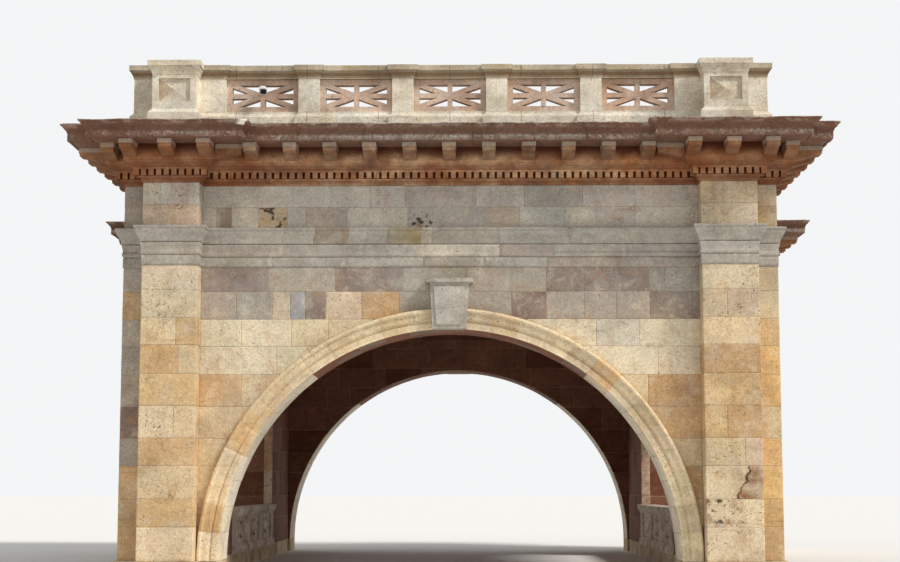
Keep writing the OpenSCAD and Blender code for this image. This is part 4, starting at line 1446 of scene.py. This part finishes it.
@dataclass(frozen=True)
class Site:
    """Main lines of the arch, read from the CAD nodes."""

    near_x: float
    far_x: float
    near_y: float
    far_y: float
    step_y: float
    near_in_y: float
    far_in_y: float
    room_x: float
    plinth_z: float
    string_z: float
    string_top: float
    entab_z: float
    corona_z: float
    roof_z: float
    near_pil: tuple[float, float]
    far_pil: tuple[float, float, float, float]
    pil_proj: float
    near_r: float
    far_r: float
    crown_proj: float
    string_proj: float

    @staticmethod
    def read() -> "Site":
        """Reads the boxes of the CAD nodes.

        Returns:
            The main lines.
        """
        wall, far, wing = (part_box(node) for node in ("near_arch_wall", "far_arch_wall", "far_wing_right"))
        pier, far_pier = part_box("near_pier_right"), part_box("far_pier_right")
        shaft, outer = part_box("near_pilasters"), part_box("far_pilasters")[1][0]
        string, bed, cornice = (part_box("near_" + part) for part in ("string_course", "bed_moulding", "cornice"))
        rise = pier[1][2] - pier[0][2]
        return Site(
            near_x=wall[1][0], far_x=far[1][0], near_y=wall[0][1], far_y=far[1][1],
            step_y=wing[0][1], near_in_y=wall[1][1], far_in_y=far[0][1], room_x=wing[0][0],
            plinth_z=pier[0][2], string_z=string[0][2], string_top=string[1][2], entab_z=bed[0][2],
            corona_z=cornice[0][2], roof_z=cornice[1][2], near_pil=(shaft[1][0] - PILASTER_W, shaft[1][0]),
            far_pil=(outer - 2 * PILASTER_W - PAIR_GAP, outer - PILASTER_W - PAIR_GAP, outer - PILASTER_W, outer),
            pil_proj=wall[0][1] - shaft[0][1],
            near_r=math.hypot(pier[0][0], rise), far_r=math.hypot(far_pier[0][0], rise),
            crown_proj=shaft[0][1] - cornice[0][1], string_proj=shaft[0][1] - string[0][1])

    def perimeter(self, paired: bool) -> Perimeter:
        """Wall line with its pilasters, anticlockwise from the near left corner.

        Args:
            paired: Whether the far pilasters stand forward as a pair, or one by one.

        Returns:
            The closed line.
        """
        a, b = self.near_pil
        c, p = self.far_pil, self.pil_proj
        near = [(-self.near_x, 0), (-b, 0), (-b, -p), (-a, -p), (-a, 0),
                (a, 0), (a, -p), (b, -p), (b, 0), (self.near_x, 0)]
        right = [(self.near_x, self.step_y), (self.far_x, self.step_y), (self.far_x, self.far_y)]
        single = [] if paired else [(c[2], p), (c[2], 0), (c[1], 0), (c[1], p)]
        far = [(c[3], 0), (c[3], p), *single, (c[0], p), (c[0], 0)]
        right += [(x, self.far_y + y) for x, y in far]
        return Perimeter(np.array([(x, self.near_y + y) for x, y in near] + right
                                  + [(-x, y) for x, y in right[::-1]]))

    def levels(self) -> list[tuple[float, float]]:
        """Heights of the courses, without the string course.

        Returns:
            Lower and upper height of each.
        """
        high = [self.string_top, (self.string_top + self.entab_z) / 2, self.entab_z]
        return [*pairwise(beds(self.string_z)), *pairwise(high)]

    def arch(self, radius: float, middle: float = 0.0) -> Hole:
        """Round arch that springs from the plinth."""
        return Hole(middle, radius, self.plinth_z, radius, self.plinth_z)

    def side_head(self, inner: bool = False) -> Hole:
        """Side opening in the depth of the building; its radius makes a circle through spring and crown.

        Args:
            inner: Between the inner jambs, not behind them.

        Returns:
            The opening, with its middle as a place along Y.
        """
        head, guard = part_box("side_arch_wall_right"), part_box("guard_pedestals")
        half, narrow = ((box[1][1] - box[0][1]) / 2 for box in (head, guard))
        spring, crown = head[0][2], SIDE_CROWN
        if inner:
            crown -= half - narrow
            half = narrow
        radius = (half ** 2 + (crown - spring) ** 2) / (2 * (crown - spring))
        return Hole((head[0][1] + head[1][1]) / 2, half, spring, radius, crown - radius)


# The dark DUSK and TAUPE stones right of the middle, above the arch, are partly painted shade on that side of the
# wall.
WALL_ACCENTS = (
    Accent(-2.88, -2.61, 4.85, Stone.SLATE), Accent(-1.59, -0.91, 4.85, Stone.OCHRE),
    Accent(-3.47, -2.95, 6.45, Stone.HONEY, Flaw.PITTED), Accent(-0.76, -0.3, 6.45, Stone.GREY, Flaw.PITTED),
    Accent(-4.24, -3.96, 6.45, Stone.BRONZE), Accent(3.6, 4.38, 4.85, Stone.DUSK),
    Accent(2.42, 3.0, 4.85, Stone.TAUPE), Accent(1.11, 1.74, 4.85, Stone.DUSK),
    Accent(2.87, 3.59, 5.3, Stone.DUSK), Accent(1.74, 2.42, 5.3, Stone.DUSK), Accent(-4.42, -3.3, 3.2, Stone.OCHRE))
STRING_ACCENTS = (Accent(-2.5, -1.87, 6.1, Stone.BRONZE), Accent(-1.16, -0.53, 6.1, Stone.TAN))
RIGHT_PIER_ACCENTS = (
    Accent(0.4, 1.4, 1.68, Stone.CREAM, Flaw.CRACKED), Accent(0.4, 0.8, 1.1, Stone.CREAM, Flaw.PITTED),
    Accent(0.4, 1.4, 3.3, Stone.HONEY), Accent(0.4, 1.4, 3.85, Stone.OCHRE), Accent(0.4, 1.4, 6.45, Stone.CREAM),
    Accent(0.4, 1.4, 6.85, Stone.SAND))
LEFT_PIER_ACCENTS = (Accent(0.4, 1.4, 1.1, Stone.HONEY), Accent(0.4, 1.4, 1.68, Stone.SAND))


@dataclass
class Facing:
    """Ashlar facing of the outer walls, course by course."""

    site: Site
    stone: bpy.types.Material
    pier_stone: bpy.types.Material
    near_cell: float = 0.085
    side_cell: float = 0.16
    strip: float = 0.5
    strip_step: float = 0.35
    joint_share: float = 0.55
    joint_from: float = 0.3
    joint_to: float = 0.7

    @staticmethod
    def wall_mix(v: float) -> Mix:
        """Stones are warm low down, pale at the haunches and grey above the arch. The pale band is partly painted
        sunlight, and the darker, greyer stones above it are partly painted shade under the string course and the
        cornice.

        Args:
            v: Lower height of a course.

        Returns:
            The mix.
        """
        if v > FRIEZE_FROM:
            return FRIEZE_MIX
        if v > BELT_FROM:
            return UPPER_GREY_AND_SHADE_MIX if v > BELT_TO else BELT_STONE_AND_SHADE_MIX
        return PALE_AND_SUNLIT_MIX if v > LIGHT_FROM else WALL_MIX

    def near(self) -> None:
        """Lays the near front: wall, pilasters and the strips beside them, with the side walls."""
        s = self.site
        line = s.perimeter(False)
        mason = Mason("near_wall_facing", 11, WALL_MIX, self.near_cell, WALL_ACCENTS)
        front, hole, inner = Flat((0.0, s.near_y), (1.0, 0.0)), s.arch(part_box("near_archivolt")[1][0]), s.near_pil[0]
        for v0, v1 in s.levels():
            mason.mix = self.wall_mix(v0)
            mason.course(front, -inner, inner, v0, v1, hole)
        mason.done(self.stone, "wall_stone")
        mason = Mason("near_pilaster_facing", 12, PIER_MIX, self.near_cell)
        for first, accents in ((LEFT_PILASTER, LEFT_PIER_ACCENTS), (RIGHT_PILASTER, RIGHT_PIER_ACCENTS)):
            mason.accents = accents
            self.shaft(mason, Ribbon(line, first, 3))
        mason.done(self.pier_stone, "pilaster_stone")
        mason = Mason("near_margin_facing", 13, MARGIN_MIX, low=0.7, high=1.4)
        left, right = Ribbon(line, len(line.corners) - 1, 2), Ribbon(line, NEAR_RIGHT, 2)
        for k, (v0, v1) in enumerate(s.levels()):
            reach = self.strip + self.strip_step * (k % 2)
            for ribbon, mix in ((right, MARGIN_MIX), (left, SHADED_MIX)):
                corner, end = ribbon.marks[1:]
                cut = corner + (reach if ribbon is right else -reach)
                strip, rest = ((0.0, cut), (cut, end))[::1 if ribbon is right else -1]
                mason.mix, mason.cell = mix, 0.1
                mason.lay(ribbon, *strip, v0, v1, corners=(corner,))
                mason.mix, mason.cell = self.wall_mix(v0), self.side_cell
                mason.course(ribbon, *rest, v0, v1, self.side_hole(ribbon, ribbon is right))
        mason.done(self.stone, "wall_stone")

    def far(self) -> None:
        """Lays the far front, its pilasters and the wings."""
        s = self.site
        line = s.perimeter(False)
        mason = Mason("far_wall_facing", 21, WALL_MIX, self.side_cell)
        main, hole = Ribbon(line, FAR_FRONT, 1), s.arch(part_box("far_archivolt")[1][0], s.far_pil[0])
        others = [Ribbon(line, first, 1) for first in FAR_PLAIN] + [Ribbon(line, first, 3) for first in WINGS]
        for v0, v1 in s.levels():
            mason.mix = self.wall_mix(v0)
            mason.course(main, 0.0, main.marks[-1], v0, v1, hole)
            for ribbon in others:
                mason.course(ribbon, 0.0, ribbon.marks[-1], v0, v1, corners=tuple(ribbon.marks[1:-1]))
        mason.done(self.stone, "wall_stone")
        mason = Mason("far_pilaster_facing", 22, PIER_MIX, self.side_cell)
        for first in FAR_PILASTERS:
            self.shaft(mason, Ribbon(line, first, 3))
        mason.done(self.pier_stone, "pilaster_stone")

    def shaft(self, mason: Mason, ribbon: Ribbon) -> None:
        """Lays a pilaster: single stones that turn both corners, or two that meet in front.

        Args:
            mason: Lays the stones.
            ribbon: The pilaster's three sides.
        """
        marks = ribbon.marks
        for v0, v1 in self.site.levels():
            mason.mix = FRIEZE_MIX if v0 > FRIEZE_FROM else PIER_MIX
            cut = marks[1] + (marks[2] - marks[1]) * float(mason.quarry.rng.uniform(self.joint_from, self.joint_to))
            joints = [0.0, cut, marks[3]] if mason.quarry.rng.random() < self.joint_share else [0.0, marks[3]]
            for one in mason.accents:
                if v0 < one.level < v1:
                    joints = [0.0, one.low, marks[3]] if one.low > marks[1] + 0.1 else [0.0, marks[3]]
            for a, b in pairwise(joints):
                mason.lay(ribbon, a, b, v0, v1, corners=tuple(marks[1:3]))

    def side_hole(self, ribbon: Ribbon, right: bool) -> Hole:
        """Side opening as seen along a ribbon, with the ring round its head.

        Args:
            ribbon: Corner strip and side wall.
            right: Whether it starts at the near front.

        Returns:
            The opening, with its middle as a place along the ribbon.
        """
        head = self.site.side_head()
        middle = ribbon.marks[1] + (head.middle - self.site.near_y) if right else self.site.step_y - head.middle
        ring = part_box("side_archivolts")[1][2] - SIDE_CROWN
        return replace(head, middle=middle, radius=head.radius + ring)


@dataclass
class Hall:
    """Stones inside the passage: the soffits of both arches, the hall's walls and its vault."""

    site: Site
    stone: bpy.types.Material
    shaded_soffit_stone: bpy.types.Material
    sunlit_jamb_stone: bpy.types.Material
    nib: float = 0.2
    guard_top: float = 1.2
    jamb_stones: int = 8
    cuts: tuple[float, float] = (0.63, 0.42)
    top_levels: tuple[float, float, float] = (5.8, 6.35, 6.9)
    vault_rise: float = 1.6
    vault_rows: int = 19
    vault_stones: tuple[float, float] = (0.7, 1.4)

    def soffits(self) -> None:
        """Lays the voussoirs that line the two arches: bright stones low on the jambs as painted sunlight, dark stones
        over the crown as painted shade.
        """
        s = self.site
        for name, radius, y0, y1 in (("near_arch", s.near_r, s.near_y, s.near_in_y),
                                     ("far_arch", s.far_r, s.far_in_y, s.far_y)):
            wall = Soffit(radius, s.plinth_z)
            crown = Mason(name + "_soffit", 31, SOFFIT_SHADE_MIX, 0.12)
            jambs = Mason(name + "_jambs", 34, JAMB_SUNLIT_MIX, 0.12)
            for k, (a, b) in enumerate(pairwise(np.linspace(0, math.pi * radius, VOUSSOIRS + 1))):
                cut = y0 + (y1 - y0) * self.cuts[k % 2]
                mason = crown if self.jamb_stones <= k < VOUSSOIRS - self.jamb_stones else jambs
                for v0, v1 in ((y0, cut), (cut, y1)):
                    mason.lay(wall, a, b, v0, v1)
            crown.done(self.shaded_soffit_stone, "wall_stone")
            jambs.done(self.sunlit_jamb_stone, "wall_stone")

    def reveals(self) -> None:
        """Lays the jambs and the heads of the side openings, behind the inner jamb and on it."""
        s = self.site
        outer, inner, nib = s.side_head(), s.side_head(inner=True), s.room_x + self.nib
        mason = Mason("side_reveals", 35, HALL_SHADE_MIX, 0.2)
        levels = beds(outer.spring, 0.15)
        for hole, x0, x1, low, mix in ((outer, nib, s.near_x, s.plinth_z, HALL_SHADE_MIX),
                                       (inner, s.room_x, nib, self.guard_top, NIB_MIX)):
            mason.mix = mix
            sides = ((x0, x1), (-x1, -x0))
            for a, b in pairwise([low] + [z for z in levels if z > low + 0.1]):
                for left, right in sides:
                    for x, way in ((left, 1.0), (right, -1.0)):
                        jamb = Flat((x, hole.middle + way * hole.half_width), (way, 0.0))
                        mason.course(jamb, 0.0, x1 - x0, a, b)
            start = math.acos(hole.half_width / hole.radius) * hole.radius
            for a, b in pairwise(np.linspace(start, math.pi * hole.radius - start, HEAD_STONES + 1)):
                for left, right in sides:
                    mason.lay(Soffit(hole.radius, hole.centre, True, hole.middle), a, b, left, right)
        mason.done(self.stone, "wall_stone")

    def walls(self) -> None:
        """Lays the walls of the hall, round the side openings and the arches."""
        s = self.site
        mason = Mason("hall_facing", 32, HALL_SHADE_MIX, 0.2)
        head = s.side_head(inner=True)
        levels = beds(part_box("ceiling_vault")[0][2])
        for x, y, way in ((s.room_x, s.far_in_y, -1.0), (-s.room_x, s.near_in_y, 1.0)):
            hole = replace(head, middle=abs(head.middle - y))
            for v0, v1 in pairwise(levels):
                mason.course(Flat((x, y), (0.0, way)), 0.0, s.far_in_y - s.near_in_y, v0, v1, hole)
        levels += self.top_levels
        for y, way, radius in ((s.far_in_y, 1.0, s.far_r), (s.near_in_y, -1.0, s.near_r)):
            for v0, v1 in pairwise(levels):
                mason.course(Flat((0.0, y), (way, 0.0)), -s.room_x, s.room_x, v0, v1, s.arch(radius))
        mason.done(self.stone, "wall_stone")

    def vault(self) -> None:
        """Lays the stones of the ceiling vault in rows along it."""
        s = self.site
        radius = (s.room_x ** 2 + self.vault_rise ** 2) / (2 * self.vault_rise)
        wall = Soffit(radius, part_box("ceiling_vault")[0][2] + self.vault_rise - radius)
        half, top = math.asin(s.room_x / radius) * radius, math.pi / 2 * radius
        mason = Mason("vault_facing", 33, HALL_SHADE_MIX, 0.3)
        for a, b in pairwise(np.linspace(top - half, top + half, self.vault_rows + 1)):
            marks = s.near_in_y + mason.quarry.lengths(s.far_in_y - s.near_in_y, *self.vault_stones)
            for v0, v1 in pairwise(marks):
                mason.lay(wall, a, b, v0, v1)
        mason.done(self.stone, "vault_stone")


@dataclass
class Roof:
    """Paving behind the parapet."""

    site: Site
    stone: bpy.types.Material
    inset: float = 0.35
    near_rows: int = 18
    far_rows: int = 4

    def build(self) -> None:
        """Lays rows of slabs from side to side, wider behind the step of the side walls."""
        s = self.site
        mason = Mason("roof_paving", 37, ROOF_MIX, 0.3, chips=0.008, low=0.7, high=1.2)
        front, step, back = s.near_y + self.inset, s.step_y + self.inset, s.far_y - self.inset
        near, far = np.linspace(front, step, self.near_rows + 1), np.linspace(step, back, self.far_rows + 1)
        for v0, v1 in pairwise([*near, *far[1:]]):
            half = (s.near_x if v1 < step + 0.01 else s.far_x) - self.inset
            mason.course(Deck(s.roof_z), -half, half, v0, v1)
        mason.done(self.stone, "roof_stone")


@dataclass(frozen=True)
class Arc:
    """Path of a ring: part of a circle on a wall, centred under the middle of the arch."""

    centre: tuple[float, float, float]
    across: tuple[float, float]
    out: tuple[float, float]
    half_angle: float

    def place(self, share: Array, out: Array, radius: Array) -> Array:
        """Points at the radius round the centre, moved out of the wall.

        The angle falls from the middle's quarter turn plus the half angle
        to that less the half angle.

        Args:
            share: From 0 at the start to 1 at the end.
            out: Distance from the wall.
            radius: Distance from the centre.

        Returns:
            Points, shape (..., 3).
        """
        angle = math.pi / 2 + self.half_angle * (1 - 2 * share)
        along, up = radius * np.cos(angle), radius * np.sin(angle)
        return np.stack([c + a * along + o * out for c, a, o in zip(self.centre, self.across, self.out)]
                        + [self.centre[2] + up], -1)


@dataclass
class Mouldings:
    """Worn string course and cornice, in single stones, and the rings round the arches."""

    site: Site
    string_stone: bpy.types.Material
    cornice_stone: bpy.types.Material
    ring_stone: bpy.types.Material
    back: float = -0.03
    ring_proj: float = 0.15
    near_cell: float = 0.09
    ring_cell: float = 0.15
    far_cell: float = 0.2
    chip_in: float = 0.03

    def string_profiles(self) -> list[Array]:
        """Sections of the three layers of the string course.

        Returns:
            A plain band, a bead under a hollow, and a double curve under a fillet.
        """
        z, top, p, back = self.site.string_z, self.site.string_top, self.site.string_proj, self.back
        return [
            profile((back, z, 0.1), (0.015, z + 0.002, 0.5), (0.015, z + 0.183, 0.5), (back, z + 0.186, 0.1)),
            profile((back, z + 0.188, 0.1), (0.015, z + 0.195, 0.3),
                    *Curve.OVOLO.points((0.016, z + 0.196), (0.032, z + 0.235), 0.5, 4), (0.032, z + 0.27, 0.5),
                    (0.015, z + 0.275, 0.1), *Curve.REVERSA.points((0.02, z + 0.3), (0.038, z + 0.405), 0.2, 4),
                    (0.038, z + 0.415, 0.4), (back, z + 0.418, 0.1)),
            profile((back, z + 0.42, 0.1),
                    *Curve.REVERSA.points((0.046, z + 0.425), (p - 0.012, top - 0.045), 0.4, 7),
                    (p, top - 0.045, 0.9), (p, top, 1.0), (back, top, 0.1))]

    def cornice_profile(self) -> Array:
        """Section of the cornice.

        Returns:
            A soffit with a drip, a plain face and a crowning double curve.
        """
        z, top, p = self.site.corona_z, self.site.roof_z, self.site.crown_proj - 0.0005
        face, crown = p - 0.12, z + 0.16
        return profile(
            (0.28, z, 0.1), (face - 0.09, z, 0.2), (face - 0.085, z + 0.012, 0.1), (face - 0.055, z + 0.012, 0.1),
            (face - 0.05, z, 0.6), (face - 0.01, z, 0.8), (face, z + 0.012, 1.0), (face, crown, 0.4),
            (face + 0.018, crown, 0.7), (face + 0.018, crown + 0.04, 0.6),
            *Curve.RECTA.points((face + 0.024, crown + 0.04), (p, top - 0.022), 0.5, 6),
            (p, top, 1.0), (p - 0.03, top, 0.6), (0.4, top, 0.3), (-0.13, top, 0.1), cell=0.08)

    def ring_profile(self, r: float, w: float) -> Array:
        """Section of a ring: two bands with a hollow between them and a raised outer edge.

        Args:
            r: Inner radius.
            w: Width.

        Returns:
            The profile.
        """
        p, back = self.ring_proj, self.back
        return profile(
            (back, r, 0.1), (p * 0.55, r, 0.8), (p * 0.55, r + w * 0.02, 0.9), (p * 0.55, r + w * 0.08, 0.4),
            (p * 0.55, r + w * 0.26, 0.4), (p * 0.55, r + w * 0.3, 0.9), (p * 0.4, r + w * 0.3, 0.1),
            (p * 0.4, r + w * 0.36, 0.1),
            *Curve.REVERSA.points((p * 0.42, r + w * 0.37), (p * 0.75, r + w * 0.46), 0.3, 3),
            (p * 0.75, r + w * 0.78, 0.3), (p, r + w * 0.79, 0.8), (p, r + w * 0.94, 1.0),
            (p * 0.7, r + w, 0.5), (back, r + w, 0.1), cell=0.045)

    def courses(self) -> None:
        """Makes string course and cornice of the near front, the sides and the far front."""
        s = self.site
        line = s.perimeter(True)
        reach = s.crown_proj - self.chip_in
        chipped = (reach - s.near_pil[0], s.near_y - s.pil_proj - reach)
        for seed, (part, sides, strings, cornices) in enumerate((
                ("near", PAIRED_NEAR, "near_string_course", "near_cornice"),
                ("side", PAIRED_SIDES, "side_string_courses", "side_cornices"),
                ("far", PAIRED_FAR, "far_string_course", "far_cornice"))):
            near = part == "near"
            cell = self.near_cell if near else self.far_cell
            carver = Carver(part + "_string_stones", 41 + seed, MOULD_MIX, cell, STRING_ACCENTS if near else (),
                            core=-0.05, sink=0.003)
            for rows in self.string_profiles():
                carver.run(line, sides, rows)
            carver.done(self.string_stone, "moulded_stone", strings)
            carver = Carver(part + "_cornice_stones", 51 + seed, CORNICE_MIX, cell, chips=0.024, core=0.5,
                            fresh=0.35, breaks=(chipped,))
            carver.run(line, sides, self.cornice_profile())
            carver.done(self.cornice_stone, "cornice_stone", cornices)

    def rings(self) -> None:
        """Makes the voussoirs of the rings round all arches."""
        s = self.site
        head = s.side_head()
        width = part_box("near_archivolt")[1][0] - s.near_r
        half_turn, angle = math.pi / 2, math.asin(head.half_width / head.radius)
        sides = [Arc((way * s.near_x, head.middle, head.centre), (0, way), (way, 0), angle) for way in (1, -1)]
        near = Arc((0, s.near_y, s.plinth_z), (1, 0), (0, -1), half_turn)
        far = Arc((0, s.far_y, s.plinth_z), (-1, 0), (0, 1), half_turn)
        for name, node, radius, arcs, count, seed, cell in (
                ("near_ring_stones", "near_archivolt", s.near_r, [near], VOUSSOIRS, 61, self.near_cell),
                ("far_ring_stones", "far_archivolt", s.far_r, [far], VOUSSOIRS, 62, self.ring_cell),
                ("side_ring_stones", "side_archivolts", head.radius, sides, HEAD_STONES, 63, self.ring_cell)):
            carver = Carver(name, seed, RING_MIX, cell, chips=0.005, sink=0.0012, lit=0.3)
            rows = self.ring_profile(radius, width)
            for arc in arcs:
                for p, q in pairwise(np.linspace(0, 1, count + 1)):
                    carver.stone(arc.place, p, q, rows, radius * 2 * arc.half_angle, carver.quarry.tone(RING_MIX))
            carver.done(self.ring_stone, "moulded_stone", node)


@dataclass
class WatchCamera:
    """Small watch camera on the left-most pierced panel, tilted down and turned to the right."""

    shell: bpy.types.Material
    glass: bpy.types.Material
    place: tuple[float, float, float] = (-3.45, -6.847, 8.88)
    tilt: float = 25.0
    turn: float = 11.0
    shield_half: float = 0.07
    shield_top: float = 0.0595
    shield_drop: float = 0.026
    shield_thick: float = 0.004
    merge: float = 0.0002

    def local(self, x: Array, t: Array, z: Array) -> Array:
        """Points of the housing: x to its right, t forwards along its axis, z up.

        The point (x, -t, z) is turned by the tilt about X, then by the turn
        about Z, and moved to the back of the housing.

        Args:
            x: Distance to the right.
            t: Distance forwards.
            z: Distance up.

        Returns:
            Points, shape (..., 3).
        """
        a, b = math.radians(self.tilt), math.radians(self.turn)
        y, up = -t * math.cos(a) - z * math.sin(a), -t * math.sin(a) + z * math.cos(a)
        return np.stack([x * math.cos(b) - y * math.sin(b), x * math.sin(b) + y * math.cos(b), up], -1) + self.place

    def tube(self, surface: Surface, rows: Sequence[Sequence[float]], power: float, tilted: bool = True) -> None:
        """Adds a tube of rounded oblong sections along the axis.

        A section is a superellipse: each coordinate is its half size times
        the cosine or sine, raised to two over the power with its sign kept.

        Args:
            surface: Gets the tube.
            rows: Distance forwards, half width and half height of each section.
            power: 2 for an ellipse, more for a squarer section.
            tilted: Along the tilted axis, not straight out from the panel.
        """
        angle = np.linspace(0, 2 * math.pi, 33)
        c, s = (np.sign(wave) * np.abs(wave) ** (2 / power) for wave in (np.cos(angle), np.sin(angle)))
        t, x, z = (column[:, None] for column in np.array(rows, dtype=float).T)
        x, z, t = x * c, z * s, np.repeat(t, len(angle), 1)
        surface.add(self.local(x, t, z) if tilted else np.stack([x, -t, z], -1) + self.place, WHITE)

    def build(self) -> None:
        """Makes the housing with its arm, the sun shield and the dark lens.

        The shield's height falls with the fourth power of the distance from
        its middle.
        """
        body = Surface("watch_camera_housing")
        self.tube(body, [(0.0, 0, 0), (0.0, 0.055, 0.044), (0.004, 0.062, 0.05), (0.02, 0.067, 0.054),
                         (0.238, 0.067, 0.054), (0.246, 0.065, 0.052), (0.246, 0.06, 0.048), (0.238, 0.058, 0.046),
                         (0.238, 0, 0)], 5.0)
        self.tube(body, [(-0.066, 0, 0), (-0.066, 0.022, 0.022), (-0.056, 0.022, 0.022), (-0.055, 0.015, 0.015),
                         (0.01, 0.015, 0.015), (0.01, 0, 0)], 2.0, False)
        x, t = np.meshgrid(np.linspace(-self.shield_half, self.shield_half, 13), [0.012, 0.13, 0.248])
        arch = self.shield_top - self.shield_drop * np.abs(x / self.shield_half) ** 4
        top, low = self.local(x, t, arch), self.local(x, t, arch - self.shield_thick)
        body.add(top, WHITE, True)
        body.add(low, WHITE)
        for edge in (0, -1):
            body.add(np.stack([top[edge], low[edge]]), WHITE, edge == 0)
            body.add(np.stack([top[:, edge], low[:, edge]]), WHITE, edge == -1)
        dress(body.build(self.merge), self.shell, "camera_shell", "watch_camera")
        lens = Surface("watch_camera_lens")
        self.tube(lens, [(0.239, 0, 0), (0.239, 0.057, 0.045), (0.244, 0.057, 0.045), (0.245, 0.044, 0.036),
                         (0.25, 0.04, 0.034), (0.25, 0.033, 0.028), (0.246, 0.029, 0.025), (0.249, 0.014, 0.012),
                         (0.25, 0, 0)], 4.0)
        dress(lens.build(self.merge), self.glass, "camera_shell")


@dataclass
class Studio:
    """Floor, light and camera."""

    lens: float = 68.5
    eye: tuple[float, float, float] = (0.514, -37.68, 1.6)
    pitch: float = 6.86
    turn: float = 0.95
    sun: float = 2.5
    sun_size: float = 15.0
    sun_turn: tuple[float, float, float] = (47.0, 0.0, 60.0)
    fill: float = 0.56
    half_floor: float = 260.0

    @staticmethod
    def add(name: str, data: bpy.types.Light | bpy.types.Camera, *turned: float) -> bpy.types.Object:
        """Links a lamp or camera to the scene.

        Args:
            name: Name of the object.
            data: Lamp or camera.
            turned: Angles about X, Y and Z in degrees.

        Returns:
            The object.
        """
        thing = bpy.data.objects.new(name, data)
        thing.rotation_euler = [math.radians(angle) for angle in turned]
        bpy.context.scene.collection.objects.link(thing)
        return thing

    def floor(self) -> None:
        """Lays a plain pale floor."""
        part = Surface("floor")
        x, y = np.meshgrid(*[np.linspace(-self.half_floor, self.half_floor, 5)] * 2)
        part.add(np.stack([x, y, np.zeros_like(x)], -1), WHITE)
        thing = part.build()
        thing.data.materials.append(StagePaint().build())

    def light(self) -> None:
        """Sets a soft key light from the upper right and an even pale surround."""
        lamp = bpy.data.lights.new("key", "SUN")
        lamp.energy, lamp.angle, lamp.color = self.sun, math.radians(self.sun_size), (1.0, 0.97, 0.92)
        self.add("key", lamp, *self.sun_turn)
        bpy.context.scene.world = world = bpy.data.worlds.new("surround")
        s = Shader(world)
        camera, glossy, through = (s.node("ShaderNodeLightPath", out=f"Is {ray} Ray")
                                   for ray in ("Camera", "Glossy", "Transmission"))
        lit, seen = (s.node("ShaderNodeBackground", {}, {"Color": colour, "Strength": strength}) for colour, strength
                     in (((0.93, 0.96, 1.0, 1), self.fill), ((*srgb("F4F5F6"), 1), 1.0)))
        shown = camera.larger(glossy).larger(through)
        s.close(s.node("ShaderNodeMixShader", {}, {0: shown, 1: lit, 2: seen}), "ShaderNodeOutputWorld")

    def camera(self) -> None:
        """Puts the camera where the photograph was taken."""
        data = bpy.data.cameras.new("view")
        data.lens, data.sensor_width, data.clip_end = self.lens, 36.0, 900.0
        thing = self.add("view", data, 90 + self.pitch, 0, self.turn)
        thing.location = self.eye
        bpy.context.scene.camera = thing
        bpy.context.scene.view_settings.view_transform = "Standard"


def main() -> None:
    """Builds the arch's looks in order, then the stage."""
    logging.basicConfig(level=logging.INFO, format="%(name)s %(message)s")
    made = {key: finish.build() for key, finish in FINISHES.items()}
    paint_nodes(made)
    site = Site.read()
    facing = Facing(site, made["wall"], made["pier"])
    hall = Hall(site, made["hall"], made["reveal"], made["jamb"])
    mouldings = Mouldings(site, made["string"], made["cornice"], made["ring"])
    watch = WatchCamera(Paint("camera_paint", "E9E9E6", "C9C6BE", 0.4).build(),
                        Paint("camera_glass", "16171A", "2A2B2E", 0.15).build())
    studio = Studio()
    for step in (facing.near, facing.far, hall.soffits, hall.reveals, hall.walls, hall.vault,
                 Roof(site, made["roof"]).build, mouldings.courses, mouldings.rings, watch.build,
                 studio.floor, studio.light, studio.camera):
        step()
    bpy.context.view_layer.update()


if __name__ == "__main__":
    main()
